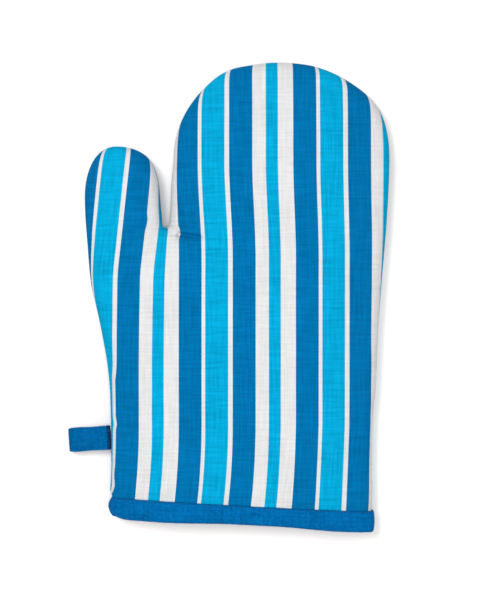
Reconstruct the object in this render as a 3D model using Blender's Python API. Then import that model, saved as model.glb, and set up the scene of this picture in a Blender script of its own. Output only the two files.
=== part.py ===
"""A padded oven mitt lying on its back.

Front and back panels of shell, wadding and lining are sewn together round the edge, the cuff is bound and a tape
loop hangs from it. Everything is worked out in millimetres and turned into metres as each mesh is made. +Y runs to
the fingertips, +X away from the thumb, +Z out of the front panel. The back panel rests on z = 0. Rigid pieces can't
bend as the cloth does, so each panel is cut in three along its fold lines: palm, thumb and fingers.
"""

import math

import bmesh
import bpy
from mathutils import Matrix, Vector
from mathutils.geometry import delaunay_2d_cdt, intersect_point_line

MM = 0.001

# Rolled edge: seen from its side, the rim of each panel is an arc round the seam.
ROLL_RADIUS = 10.0
SEAM_HEIGHT = ROLL_RADIUS
ROLL_ANGLES = [math.radians(a) for a in (0, 35, 70)]
EDGE_RISE = ROLL_RADIUS * math.sin(ROLL_ANGLES[-1])

# Crown of the front panel: how far it would rise over a very wide mitt, and the distance over which it gets there.
CROWN = 10.0
CROWN_REACH = 25.0
CUFF_CROWN_SHARE = 0.55
CUFF_CROWN_REACH = 70.0
CROWN_PASSES = 400

# Depths below the outer surface at which each layer starts and ends.
LAYERS = {"shell": (0.0, 0.8), "wadding": (1.1, 5.6), "lining": (5.9, 6.5)}
SKIN_LIFT = 0.15
WADDING_LIFT = 0.7

# The cuff. Its raw edge leans a little, and the binding squeezes the wadding over the rows up to the second one.
CUFF_RIGHT = Vector((85.5, -138.5))
CUFF_LEAN = math.radians(3.1)
CUFF_WIDTH = 156.6
CUFF_ROWS = (0.0, 12.0, 18.0)
CUFF_COLUMNS = 11
CUFF_SIDE_HEADINGS = (89.0, 268.0)
SQUEEZE_OUTER = 1.3
SQUEEZE_INNER = 1.5

# The outline above the cuff, as (x, y, heading in degrees), round the fingers, the crotch and the thumb.
OUTLINE = (
    (86.3, -94.8, 89.0),
    (88.8, -25.0, 87.5),
    (95.1, 62.0, 87.5),
    (95.7, 86.0, 92.0),
    (92.4, 105.5, 108.0),
    (70.6, 129.0, 148.5),
    (49.3, 138.0, 167.5),
    (27.0, 139.9, 180.0),
    (8.2, 137.6, 188.0),
    (-9.7, 129.6, 220.0),
    (-33.2, 86.0, 268.0),
    (-34.9, 64.0, 267.0),
    (-35.9, 44.6, 264.0),
    (-38.0, 41.4, 180.0),
    (-40.1, 44.4, 92.0),
    (-41.4, 62.0, 94.0),
    (-44.6, 77.5, 112.0),
    (-67.0, 90.0, 180.0),
    (-86.4, 60.0, 270.0),
    (-85.0, 34.0, 275.0),
    (-80.6, -2.0, 285.0),
    (-74.4, -31.0, 280.5),
    (-71.2, -60.0, 272.0),
    (-70.6, -95.0, 270.0),
)
LONGEST_STEP = 13.0
SHARPEST_STEP = math.radians(22)

# Inside the rolled edge the panels are meshed on a triangular grid.
GRID_STEP = 15.0
GRID_MARGIN = 14.5
GRID_ROW = GRID_STEP * math.sqrt(0.75)

# Folds. Each axis lies level with the highest part of the mitt, so the cut faces swing apart. A line from the
# crotch to the wrist parts the thumb from the palm, and V_GAP runs up between the thumb and the fingers.
KERF = 0.4
FOLD_HEIGHT = 28.0
FINGER_FOLD_Y = 62.0
CROTCH = Vector((-38.0, 41.4))
WRIST = Vector((-73.6, -61.0))
V_GAP = ((-38.0, 46.0), (-38.1, 54.0), (-38.2, 62.0), (-38.0, 76.0), (-36.0, 110.0))
BEYOND = 130.0
CUT_HEIGHTS = (-5.0, 45.0)

# Binding: its section as (depth, height above the raw edge), a U over the raw edges of every layer.
BINDING_SECTION = (
    (0.0, 11.0),
    (0.0, 1.0),
    (0.9, -0.9),
    (3.15, -1.5),
    (5.4, -0.9),
    (6.3, 1.0),
    (6.3, 11.0),
    (5.3, 11.0),
    (5.3, 0.2),
    (4.9, -0.3),
    (1.4, -0.3),
    (1.0, 0.2),
    (1.0, 11.0),
)

# Threads.
SEAM_THREAD_RADIUS = 0.35
SEAM_THREAD_DEPTH = 1.7
SEAM_THREAD_STEPS = 16
BINDING_THREAD_RADIUS = 0.25
BINDING_THREAD_OUTER = (0.75, 11.6)
BINDING_THREAD_INNER = (6.85, 9.0)

# Hanging loop: a tape folded back on itself, drooping from just outside the seam to rest its end on the floor.
LOOP_ROOT = Vector((-73.6, -84.0))
LOOP_ROOT_OUTWARDS = 2.6
LOOP_HEADING = math.radians(183.5)
LOOP_WIDTH = 14.3
LOOP_LENGTH = 21.6
LOOP_TIP_RADIUS = 5.0
TAPE_THICKNESS = 1.2
LOOP_NOSE = 0.6
LOOP_NECK_LENGTH = 2.0
TIP_STEPS = 7

# Bar tack and the tape's tail, on either side of the seam: the (start, end) of each outwards from the outline, and
# half its height. The tack stops short of the loop's swing.
TACK_SPAN = (0.4, 1.6)
TACK_HALF_HEIGHT = 0.7
TAIL_SPAN = (-5.1, -3.3)
TAIL_HALF_HEIGHT = 0.4

STRIPE_BLUE = (0.005, 0.175, 0.46, 1.0)
BINDING_BLUE = (0.005, 0.13, 0.38, 1.0)
NAVY = (0.015, 0.02, 0.10, 1.0)
WADDING_WHITE = (0.82, 0.80, 0.75, 1.0)
LINING_WHITE = (0.86, 0.85, 0.82, 1.0)
LAYER_COLOURS = {"shell": STRIPE_BLUE, "wadding": WADDING_WHITE, "lining": LINING_WHITE}
CLOTH_ROUGHNESS = 0.85


def clear_scene():
    for thing in list(bpy.data.objects):
        bpy.data.objects.remove(thing)


def smooth(share):
    """0 to 1, level at both ends."""
    share = min(1.0, max(0.0, share))
    return share * share * (3 - 2 * share)


def direction(angle):
    return Vector((math.cos(angle), math.sin(angle)))


# ---- Outline ----

CUFF_ALONG = -direction(-CUFF_LEAN)
CUFF_UP = Vector((CUFF_ALONG.y, -CUFF_ALONG.x))


def cuff_side(row, left):
    """Where a side seam crosses a row of the cuff."""
    start = CUFF_RIGHT + CUFF_UP * row
    return start + CUFF_ALONG * CUFF_WIDTH if left else start


def arc_between(start, end):
    """Points from one anchor up to, but not at, the next one, on the Bezier nearest a circular arc."""
    (x0, y0, from_angle), (x1, y1, to_angle) = start, end
    a, b = Vector((x0, y0)), Vector((x1, y1))
    turn = math.radians(to_angle - from_angle)
    chord = (b - a).length
    handle = chord / (3 * math.cos(turn / 4) ** 2)
    c = a + direction(math.radians(from_angle)) * handle
    d = b - direction(math.radians(to_angle)) * handle
    steps = max(1, math.ceil(max(chord / LONGEST_STEP, abs(turn) / SHARPEST_STEP)))
    points = []
    for i in range(steps):
        t = i / steps
        u = 1 - t
        points.append(a * u**3 + c * 3 * u * u * t + d * 3 * u * t * t + b * t**3)
    return points


def outline_points():
    """The seam from the right end of the cuff to the left end, with each point's direction into the mitt."""
    right = [cuff_side(row, False) for row in CUFF_ROWS]
    left = [cuff_side(row, True) for row in reversed(CUFF_ROWS)]
    start, end = CUFF_SIDE_HEADINGS
    anchors = [(*right[-1], start), *OUTLINE, (*left[0], end)]
    points = right[:-1]
    for here, there in zip(anchors, anchors[1:]):
        points += arc_between(here, there)
    points += left
    inward = []
    for i, _ in enumerate(points):
        if i < len(CUFF_ROWS):
            inward.append(CUFF_ALONG.copy())
        elif i >= len(points) - len(CUFF_ROWS):
            inward.append(-CUFF_ALONG)
        else:
            along = (points[i + 1] - points[i - 1]).normalized()
            inward.append(Vector((-along.y, along.x)))
    return points, inward


def distance_to(points, place):
    """How far a place is from the seam."""
    nearest = math.inf
    for a, b in zip(points, points[1:]):
        foot, share = intersect_point_line(place, a, b)
        foot = a if share < 0 else b if share > 1 else foot
        nearest = min(nearest, (place - foot.to_2d()).length)
    return nearest


def is_inside(polygon, place):
    inside = False
    for a, b in zip(polygon, polygon[1:] + polygon[:1]):
        if (a.y > place.y) != (b.y > place.y):
            if place.x < a.x + (b.x - a.x) * (place.y - a.y) / (b.y - a.y):
                inside = not inside
    return inside


# ---- The net of points that every layer shares ----


class Net:
    """Rings round the rolled edge, then the middle of the panel: which points there are and how they join."""

    def __init__(self):
        self.seam, self.inward = outline_points()
        self.count = len(self.seam)
        self.rings = len(ROLL_ANGLES)
        self.middle = []
        self.rows = []
        self.faces = []
        self.add_cuff_rows()
        self.add_grid()
        self.join()
        self.boundary = self.edge_loop()
        self.crown = self.crown_heights()

    def inner_ring(self, depth=0.0):
        """The last ring of the rolled edge."""
        step = ROLL_RADIUS - (ROLL_RADIUS - depth) * math.cos(ROLL_ANGLES[-1])
        return [p + n * step for p, n in zip(self.seam, self.inward)]

    def add_cuff_rows(self):
        ring = self.inner_ring()
        first = self.rings * self.count
        for row, _ in enumerate(CUFF_ROWS):
            right, left = ring[row], ring[self.count - 1 - row]
            self.rows.append([first + len(self.middle) + k for k in range(CUFF_COLUMNS)])
            for k in range(CUFF_COLUMNS):
                self.middle.append(left.lerp(right, (k + 1) / (CUFF_COLUMNS + 1)))

    def add_grid(self):
        left, right = min(p.x for p in self.seam), max(p.x for p in self.seam)
        low, high = min(p.y for p in self.seam), max(p.y for p in self.seam)
        clear_of_rows = CUFF_ROWS[-1] + GRID_ROW / 2
        for j in range(math.ceil((high - low) / GRID_ROW)):
            for i in range(math.ceil((right - left) / GRID_STEP) + 1):
                place = Vector((left + (i + 0.5 * (j % 2)) * GRID_STEP, low + j * GRID_ROW))
                above_cuff = (place - CUFF_RIGHT).dot(CUFF_UP)
                if above_cuff < clear_of_rows or not is_inside(self.seam, place):
                    continue
                if distance_to(self.seam, place) > GRID_MARGIN:
                    self.middle.append(place)

    def join(self):
        ring = self.inner_ring()
        places = ring + self.middle
        first_middle = (self.rings - 1) * self.count
        cuff = [i - first_middle for i in self.rows[0]]
        border = list(range(self.count)) + cuff
        ties = []
        for row, indices in enumerate(self.rows[1:], start=1):
            line = [i - first_middle for i in indices]
            line = [self.count - 1 - row, *line, row]
            ties += list(zip(line, line[1:]))
        made = delaunay_2d_cdt(places, ties, [border], 1, 1e-4)
        originals = [ids[0] for ids in made[3]]
        for face in made[2]:
            a, b, c = (originals[i] for i in face)
            if (places[b] - places[a]).cross(places[c] - places[a]) < 0:
                b, c = c, b
            self.faces.append(tuple(first_middle + i for i in (a, b, c)))
        for ring_index in range(self.rings - 1):
            for i in range(self.count - 1):
                a = ring_index * self.count + i
                self.faces.append((a, a + 1, a + 1 + self.count, a + self.count))

    def edge_loop(self):
        """The rim of the panel, along the seam, then down its left end, along the cuff and up its right end."""
        outer = list(range(self.count))
        left_end = [(k + 1) * self.count - 1 for k in range(1, self.rings)]
        right_end = [k * self.count for k in reversed(range(1, self.rings))]
        return outer + left_end + self.rows[0] + right_end

    def crown_heights(self):
        """How far the middle stands above the rolled edge: a membrane that air swells, held down by springs."""
        first = (self.rings - 1) * self.count
        places = self.inner_ring() + self.middle
        links = [set() for _ in places]
        for face in self.faces:
            if min(face) >= first:
                for a, b in zip(face, face[1:] + face[:1]):
                    links[a - first].add(b - first)
                    links[b - first].add(a - first)
        heights = [0.0] * len(places)
        stiffness = []
        swell = []
        for i in range(self.count, len(places)):
            spread = sum((places[j] - places[i]).length_squared for j in links[i]) / len(links[i])
            stiffness.append(4 / spread)
            up = (places[i] - CUFF_RIGHT).dot(CUFF_UP)
            share = CUFF_CROWN_SHARE + (1 - CUFF_CROWN_SHARE) * smooth(up / CUFF_CROWN_REACH)
            swell.append(share * CROWN / CROWN_REACH**2)
        for _ in range(CROWN_PASSES):
            for k, i in enumerate(range(self.count, len(places))):
                around = sum(heights[j] for j in links[i]) / len(links[i])
                pull = stiffness[k] + 1 / CROWN_REACH**2
                heights[i] = (stiffness[k] * around + swell[k]) / pull
        return heights[self.count :]

    def place(self, index, depth, front, lift=0.0):
        """A point of the front or back panel at a depth below its outer surface."""
        side = 1 if front else -1
        if index >= self.rings * self.count:
            k = index - self.rings * self.count
            rise = EDGE_RISE + self.crown[k] if front else ROLL_RADIUS
            x, y = self.middle[k]
            return Vector((x, y, SEAM_HEIGHT + side * (rise - depth)))
        ring, i = divmod(index, self.count)
        radius = ROLL_RADIUS - depth
        spot = self.seam[i] + self.inward[i] * (ROLL_RADIUS - radius * math.cos(ROLL_ANGLES[ring]))
        rise = max(lift, radius * math.sin(ROLL_ANGLES[ring]))
        return Vector((*spot, SEAM_HEIGHT + side * rise))

    def is_squeezed(self, index):
        """Whether a point is in the rows that the binding holds."""
        squeezed = len(CUFF_ROWS) - 1
        if any(index in row for row in self.rows[:squeezed]):
            return True
        i = index % self.count
        on_edge = index < self.rings * self.count
        return on_edge and (i < squeezed or i >= self.count - squeezed)


def squeezed_depth(depth):
    """A depth below the outer surface, where the binding presses the layers together."""
    outer, inner = LAYERS["wadding"]
    if depth <= outer:
        return depth + SQUEEZE_OUTER
    if depth >= inner:
        return depth - SQUEEZE_INNER
    share = (depth - outer) / (inner - outer)
    return depth + SQUEEZE_OUTER - share * (SQUEEZE_OUTER + SQUEEZE_INNER)


# ---- Objects ----


def cloth_material(name, colour):
    material = bpy.data.materials.new(name)
    material.use_nodes = True
    shader = material.node_tree.nodes["Principled BSDF"]
    shader.inputs["Base Color"].default_value = colour
    shader.inputs["Roughness"].default_value = CLOTH_ROUGHNESS
    shader.inputs["Metallic"].default_value = 0.0
    material.diffuse_color = colour
    return material


def new_mesh(name, points, faces):
    mesh = bpy.data.meshes.new(name)
    mesh.from_pydata([p * MM for p in points], [], faces)
    return mesh


def face_outwards(mesh):
    work = bmesh.new()
    work.from_mesh(mesh)
    bmesh.ops.recalc_face_normals(work, faces=work.faces)
    work.to_mesh(mesh)
    work.free()


def add_object(name, mesh, colour):
    thing = bpy.data.objects.new(name, mesh)
    bpy.context.scene.collection.objects.link(thing)
    if not mesh.materials:
        mesh.materials.append(None)
    thing.material_slots[0].link = "OBJECT"
    thing.material_slots[0].material = cloth_material(name, colour)
    return thing


def hang_on(thing, axis):
    """Parents a piece to the empty on its joint's axis without moving it."""
    thing.parent = axis
    thing.matrix_parent_inverse = Matrix.Translation(-axis.location)


def add_axis(name, place):
    axis = bpy.data.objects.new(name, None)
    axis.location = place * MM
    bpy.context.scene.collection.objects.link(axis)
    return axis


# ---- Panels ----


def layer_mesh(net, layer, front):
    """One layer of one panel, before it is cut at the folds."""
    outer, inner = LAYERS[layer]
    lift = WADDING_LIFT if layer == "wadding" else SKIN_LIFT
    total = net.rings * net.count + len(net.middle)
    points = []
    for depth in (outer, inner):
        for index in range(total):
            here = squeezed_depth(depth) if net.is_squeezed(index) else depth
            points.append(net.place(index, here, front, lift))
    faces = list(net.faces)
    faces += [tuple(total + i for i in reversed(face)) for face in net.faces]
    for a, b in zip(net.boundary, net.boundary[1:] + net.boundary[:1]):
        faces.append((b, a, total + a, total + b))
    mesh = new_mesh(f"{'front' if front else 'back'}_{layer}", points, faces)
    face_outwards(mesh)
    return mesh


def region_outlines():
    """The ground that palm, thumb and fingers each cover, with a kerf between them."""
    along = (CROTCH - WRIST).normalized()
    aside = Vector((along.y, -along.x)) * KERF / 2
    start = WRIST - along * BEYOND
    gap = [Vector(p) for p in V_GAP]
    gap_top = gap[-1].x
    below_fold = FINGER_FOLD_Y - KERF / 2
    above_fold = FINGER_FOLD_Y + KERF / 2
    palm = [start + aside, CROTCH + aside, *gap[:2], Vector((gap[2].x, below_fold))]
    palm += [Vector((BEYOND, below_fold)), Vector((BEYOND, -2 * BEYOND)), Vector((start.x, -2 * BEYOND))]
    thumb = [CROTCH - aside, start - aside, Vector((-2 * BEYOND, start.y)), Vector((-2 * BEYOND, BEYOND))]
    thumb += [Vector((gap_top, BEYOND)), *reversed(gap)]
    fingers = [Vector((gap[2].x, above_fold)), *gap[3:], Vector((gap_top, 2 * BEYOND))]
    fingers += [Vector((BEYOND, 2 * BEYOND)), Vector((BEYOND, above_fold))]
    return {"palm": palm, "thumb": thumb, "fingers": fingers}


def region_cutter(name, outline):
    """An upright prism over one region. It only cuts, so it isn't rendered."""
    count = len(outline)
    points = [Vector((*p, z)) for z in CUT_HEIGHTS for p in outline]
    faces = [tuple(range(count)), tuple(range(count, 2 * count))]
    for i in range(count):
        j = (i + 1) % count
        faces.append((i, j, j + count, i + count))
    mesh = new_mesh(name, points, faces)
    face_outwards(mesh)
    cutter = bpy.data.objects.new(name, mesh)
    cutter.hide_render = True
    cutter.display_type = "WIRE"
    bpy.context.scene.collection.objects.link(cutter)
    return cutter


def add_panels(net, axes):
    outlines = region_outlines()
    cutters = {region: region_cutter(f"{region}_region", outlines[region]) for region in outlines}
    for front in (False, True):
        for layer in LAYERS:
            mesh = layer_mesh(net, layer, front)
            for region, cutter in cutters.items():
                piece = add_object(f"{mesh.name}_{region}", mesh, LAYER_COLOURS[layer])
                cut = piece.modifiers.new("cut at the folds", "BOOLEAN")
                cut.operation = "INTERSECT"
                cut.solver = "EXACT"
                cut.object = cutter
                if region in axes:
                    hang_on(piece, axes[region])


# ---- Cuff ----


def mouth_stations(net):
    """Points round the mouth from the left: (front, index in the first row, index in the second row)."""
    count = net.count
    front = [(k * count + count - 1, k * count + count - 2) for k in range(net.rings)]
    front += list(zip(net.rows[0], net.rows[1]))
    front += [(k * count, k * count + 1) for k in reversed(range(net.rings))]
    stations = [(True, *pair) for pair in front]
    stations += [(False, *pair) for pair in reversed(front[1:-1])]
    return stations


def cuff_point(net, station, depth, height):
    """A point in the cuff at a depth below the outer surface and a height above the raw edge."""
    front, low, high = station
    a = net.place(low, depth, front)
    b = net.place(high, depth, front)
    return a + (b - a) * (height / (CUFF_ROWS[1] - CUFF_ROWS[0]))


def add_binding(net):
    stations = mouth_stations(net)
    size = len(BINDING_SECTION)
    points = [cuff_point(net, s, depth, height) for s in stations for depth, height in BINDING_SECTION]
    faces = []
    for i, _ in enumerate(stations):
        here, there = i * size, (i + 1) % len(stations) * size
        for j in range(size):
            k = (j + 1) % size
            faces.append((here + j, here + k, there + k, there + j))
    mesh = new_mesh("cuff_binding", points, faces)
    face_outwards(mesh)
    add_object("cuff_binding", mesh, BINDING_BLUE)


# ---- Threads ----


def add_thread(name, points, radius, closed, colour, axis=None):
    curve = bpy.data.curves.new(name, "CURVE")
    curve.dimensions = "3D"
    curve.bevel_depth = radius * MM
    curve.bevel_resolution = 0
    curve.use_fill_caps = not closed
    curve.resolution_u = 1
    curve.render_resolution_u = 0
    spline = curve.splines.new("POLY")
    spline.points.add(len(points) - 1)
    for spot, point in zip(spline.points, points):
        spot.co = (*(point * MM), 1.0)
    spline.use_cyclic_u = closed
    thing = bpy.data.objects.new(name, curve)
    bpy.context.scene.collection.objects.link(thing)
    curve.materials.append(cloth_material(name, colour))
    if axis:
        hang_on(thing, axis)


def seam_stretches(net):
    """The seam thread's path, parted where it crosses a fold, as (region, points)."""
    regions = region_outlines()
    path = [p + n * SEAM_THREAD_DEPTH for p, n in zip(net.seam, net.inward)]
    lowest = len(CUFF_ROWS) - 1
    path = path[lowest:-lowest]
    fine = []
    for a, b in zip(path, path[1:]):
        fine += [a.lerp(b, k / SEAM_THREAD_STEPS) for k in range(SEAM_THREAD_STEPS)]
    stretches = []
    for i, place in enumerate(fine):
        region = next((name for name, line in regions.items() if is_inside(line, place)), None)
        if region is None:
            continue
        if not stretches or stretches[-1][0] != region:
            stretches.append((region, []))
        if i % SEAM_THREAD_STEPS == 0 or is_fold_end(fine, i, regions[region]):
            stretches[-1][1].append(Vector((*place, SEAM_HEIGHT)))
    return stretches


def is_fold_end(path, i, region):
    """Whether a stretch of the path starts or stops here, at the edge of its region."""
    around = [path[k] for k in (i - 1, i + 1) if 0 <= k < len(path)]
    return len(around) < 2 or not all(is_inside(region, place) for place in around)


def add_seam_threads(net, axes):
    names = iter(("right", "fingers", "crotch", "thumb", "left"))
    for region, points in seam_stretches(net):
        name = f"seam_thread_{next(names)}"
        add_thread(name, points, SEAM_THREAD_RADIUS, False, BINDING_BLUE, axes.get(region))


def add_binding_threads(net):
    stations = mouth_stations(net)
    for side, (depth, height) in (("outer", BINDING_THREAD_OUTER), ("inner", BINDING_THREAD_INNER)):
        path = [cuff_point(net, station, depth, height) for station in stations]
        add_thread(f"binding_thread_{side}", path, BINDING_THREAD_RADIUS, True, BINDING_BLUE)


# ---- Hanging loop ----


def teardrop(inset):
    """The loop's side view as (outwards, up), a nose at the root and a round tip, from below to above."""
    reach = LOOP_LENGTH - LOOP_TIP_RADIUS
    drop = (SEAM_HEIGHT - LOOP_TIP_RADIUS) / reach
    radius = LOOP_TIP_RADIUS - inset
    centre = Vector((reach, -drop * reach))
    slope = math.atan(drop)
    points = []
    for k in range(TIP_STEPS + 1):
        angle = -math.pi / 2 + math.pi * k / TIP_STEPS - slope
        points.append(centre + direction(angle) * radius)
    if inset:
        points.append(Vector((LOOP_NECK_LENGTH + inset, -drop * (LOOP_NECK_LENGTH + inset))))
    else:
        points += [Vector((0.0, LOOP_NOSE)), Vector((0.0, -LOOP_NOSE))]
    return points


def add_loop(axis):
    """The tape as a ring: its outer teardrop, with a smaller one cut through it."""
    out = direction(LOOP_HEADING)
    across = Vector((-out.y, out.x))

    def prism(name, section, half_width):
        points = []
        for side in (-half_width, half_width):
            for outwards, up in section:
                spot = LOOP_ROOT + out * outwards + across * side
                points.append(Vector((*spot, SEAM_HEIGHT + up)))
        size = len(section)
        faces = [tuple(range(size)), tuple(range(size, 2 * size))]
        faces += [(i, (i + 1) % size, (i + 1) % size + size, i + size) for i in range(size)]
        mesh = new_mesh(name, points, faces)
        face_outwards(mesh)
        return mesh

    solid = prism("hanging_loop", teardrop(0.0), LOOP_WIDTH / 2)
    loop = add_object(solid.name, solid, BINDING_BLUE)
    hole = bpy.data.objects.new("loop_hole", prism("loop_hole", teardrop(TAPE_THICKNESS), LOOP_WIDTH))
    hole.hide_render = True
    hole.display_type = "WIRE"
    bpy.context.scene.collection.objects.link(hole)
    cut = loop.modifiers.new("hole", "BOOLEAN")
    cut.operation = "DIFFERENCE"
    cut.solver = "EXACT"
    cut.object = hole
    hang_on(loop, axis)


def add_block(name, span, half_height, colour):
    """A flat block beside the seam at the loop's root, between two distances outwards from the outline."""
    out = direction(LOOP_HEADING)
    across = Vector((-out.y, out.x))
    on_outline = LOOP_ROOT - out * LOOP_ROOT_OUTWARDS
    work = bmesh.new()
    bmesh.ops.create_cube(work, size=1.0)
    middle = on_outline + out * (sum(span) / 2)
    size = Matrix.Diagonal((span[1] - span[0], LOOP_WIDTH, 2 * half_height, 1.0))
    turn = Matrix((
        (out.x, across.x, 0, middle.x),
        (out.y, across.y, 0, middle.y),
        (0, 0, 1, SEAM_HEIGHT),
        (0, 0, 0, 1),
    ))
    bmesh.ops.transform(work, matrix=Matrix.Scale(MM, 4) @ turn @ size, verts=work.verts)
    mesh = bpy.data.meshes.new(name)
    bmesh.ops.recalc_face_normals(work, faces=work.faces)
    work.to_mesh(mesh)
    work.free()
    add_object(name, mesh, colour)


def build():
    clear_scene()
    net = Net()
    middle_of_fold = (CROTCH + WRIST) / 2
    axes = {
        "fingers": add_axis("finger_fold_axis", Vector((0.0, FINGER_FOLD_Y, FOLD_HEIGHT))),
        "thumb": add_axis("thumb_fold_axis", Vector((*middle_of_fold, FOLD_HEIGHT))),
    }
    loop_axis = add_axis("loop_swing_axis", Vector((*LOOP_ROOT, SEAM_HEIGHT)))
    add_panels(net, axes)
    add_binding(net)
    add_binding_threads(net)
    add_seam_threads(net, axes)
    add_loop(loop_axis)
    add_block("loop_tack", TACK_SPAN, TACK_HALF_HEIGHT, NAVY)
    add_block("loop_tail", TAIL_SPAN, TAIL_HALF_HEIGHT, BINDING_BLUE)


build()
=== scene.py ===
"""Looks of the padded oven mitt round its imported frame: panels, bound cuff, tape loop, threads and stage."""

import math

import bpy
import numpy as np
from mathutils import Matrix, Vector, kdtree
from mathutils.geometry import delaunay_2d_cdt


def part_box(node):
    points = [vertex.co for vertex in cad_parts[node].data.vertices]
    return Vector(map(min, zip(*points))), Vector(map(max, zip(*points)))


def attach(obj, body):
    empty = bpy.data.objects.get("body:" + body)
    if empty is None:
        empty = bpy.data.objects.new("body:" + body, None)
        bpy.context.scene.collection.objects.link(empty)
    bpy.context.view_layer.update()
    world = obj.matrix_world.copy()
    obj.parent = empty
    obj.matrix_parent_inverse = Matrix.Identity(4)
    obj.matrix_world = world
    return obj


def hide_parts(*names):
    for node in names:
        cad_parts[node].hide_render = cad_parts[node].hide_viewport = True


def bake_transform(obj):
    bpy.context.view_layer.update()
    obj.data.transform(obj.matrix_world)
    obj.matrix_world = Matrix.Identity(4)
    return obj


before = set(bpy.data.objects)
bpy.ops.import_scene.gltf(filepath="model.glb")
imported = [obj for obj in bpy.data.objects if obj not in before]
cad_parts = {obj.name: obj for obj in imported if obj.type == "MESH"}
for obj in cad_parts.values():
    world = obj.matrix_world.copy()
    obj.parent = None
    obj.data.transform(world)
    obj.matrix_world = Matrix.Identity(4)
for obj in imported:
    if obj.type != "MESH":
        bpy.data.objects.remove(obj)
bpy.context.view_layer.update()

MM = 0.001

# ---- Sizes, in millimetres, as the frame has them ----

# The rim of each panel is an arc round the seam, and the front swells above it like a membrane.
SEAM_HEIGHT = sum(corner.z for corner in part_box("seam_thread_right")) / 2 / MM
ROLL_RADIUS = SEAM_HEIGHT
ROLL_END = math.radians(70)
EDGE_RISE = ROLL_RADIUS * math.sin(ROLL_END)
CROWN = 10.0
CROWN_REACH = 25.0
CUFF_CROWN_SHARE = 0.55
CUFF_CROWN_REACH = 70.0
CROWN_PASSES = 1500

# Depths below the outer surface at which each layer starts and ends.
SHELL = (0.0, 0.5)
WADDING = (1.0, 5.4)
LINING = (5.8, 6.2)

# Where the panels are sewn together their skins dip into a narrow groove.
GROOVE_DEPTH = 1.3
GROOVE_ANGLE = math.radians(13)
SEAM_GAP = 0.1
WADDING_GAP = 0.7

# The cuff, its lean and the rows of points that the binding holds.
CUFF_RIGHT = np.array((85.5, -138.5))
CUFF_LEAN = math.radians(3.1)
CUFF_WIDTH = 156.6
CUFF_SIDE_HEADINGS = (89.0, 268.0)
SQUEEZED = (11.5, 18.0)
SQUEEZE_OUTER = 1.3
SQUEEZE_INNER = 1.5

# Towards the cuff's left end the squeeze is smaller and ends lower.
SQUEEZE_LEFT = 0.6
SQUEEZE_LEFT_DROP = 3.5
SQUEEZE_LEFT_X = (-55.0, -67.0)

# The lower right edge is drawn in, and the left edge is pushed out just above the binding. Each pair of rows
# is the height above the cuff at which that starts, and the one at which it is in full.
DRAWN_IN = 1.15
DRAWN_IN_X = (60.0, 80.0)
DRAWN_IN_ROWS = (86.0, 66.0)
PUSHED_OUT = 1.2
PUSHED_OUT_X = (-58.0, -68.0)
PUSHED_OUT_ROWS = ((10.0, 14.0), (32.0, 18.0))

# The outline above the cuff, as (x, y, heading in degrees), round the fingers, the crotch and the thumb.
OUTLINE = (
    (86.3, -94.8, 89.0),
    (88.8, -25.0, 87.5),
    (95.1, 62.0, 87.5),
    (95.7, 86.0, 92.0),
    (92.4, 105.5, 108.0),
    (70.6, 129.0, 148.5),
    (49.3, 138.0, 167.5),
    (27.0, 139.9, 180.0),
    (8.2, 137.6, 188.0),
    (-9.7, 129.6, 220.0),
    (-33.2, 86.0, 268.0),
    (-34.9, 64.0, 267.0),
    (-35.9, 44.6, 264.0),
    (-38.0, 41.4, 180.0),
    (-40.1, 44.4, 92.0),
    (-41.4, 62.0, 94.0),
    (-44.6, 77.5, 112.0),
    (-67.0, 90.0, 180.0),
    (-86.4, 60.0, 270.0),
    (-85.0, 34.0, 275.0),
    (-80.6, -2.0, 285.0),
    (-74.4, -31.0, 280.5),
    (-71.2, -60.0, 272.0),
    (-70.6, -95.0, 270.0),
)
CROTCH = np.array((-38.0, 41.4))
WRIST = np.array((-73.6, -61.0))
ARC_POINTS = 200

# Meshes: angles of the rings round the rolled edge, rows at the cuff, columns along it, and the spacing of
# points: on the whole, at the crotch's seam and in the grid round the crotch. The spacing grows by a share of
# the distance from the crotch, from a few times the crotch's own down the fold. The grid keeps a share of its
# step clear of the rings and the fold. The wrist is looked for from this many points past the crotch.
SKIN_NET = ((0, 4, 9, 16, 27, 41, 55, 70), (0.0, 2.5, 5.0, 7.5, 10.0, 12.5, 15.0, 18.0), 60, 2.6, 0.25, 0.75)
PAD_NET = ((0, 20, 45, 70), (0.0, 6.0, 12.0, 18.0), 26, 6.0, 1.0, 3.0)
FINE_CENTRE = np.array((-33.0, 40.0))
FINE_REACH = 21.0
CLIPPED_REACH = 16.0
SEAM_GROWTH = 0.1
FOLD_GROWTH = 0.08
FOLD_FIRST_STEPS = 4
GRID_CLEARANCE = 0.6
PAST_CROTCH = 10

# ---- Cloth ----

# Stripes across the cloth, and where the first one starts on the front panel and on the back one.
STRIPES = (
    ("dark", 13.28),
    ("white", 2.05),
    ("cyan", 13.5),
    ("white", 2.75),
    ("dark", 13.52),
    ("white", 7.81),
    ("cyan", 6.81),
    ("white", 9.1),
)
STRIPE_PERIOD = sum(width for _, width in STRIPES)
STRIPE_START = -29.6
BACK_STRIPE_SHIFT = 21.0

# How far the front's cloth was shifted to the right as it was laid and sewn, where each pair is a start and
# an end. Above the crotch the stripes lean left, most at the left side. Below, towards the hem, they curve
# left.
HAND_LEAN = (-2.4, -0.7)
HAND_LEAN_X = (-14.0, 85.0)
HAND_LEAN_Y = (22.0, 80.0)
HAND_LEAN_FADE = 12.0
HEM_FROM = -75.0
HEM_CURVE = 0.00122
HEM_SLOPE = 0.036
HEM_SLOPE_X = (0.0, 80.0)

# On the thumb they lean right from its base, and ever more above a bend.
THUMB_SHIFT = 0.9
THUMB_SHIFT_Y = (-45.0, 30.0)
THUMB_LEAN = 0.105
THUMB_LEAN_Y = (8.0, 20.0)
THUMB_X = (-29.0, -43.0)

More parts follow.
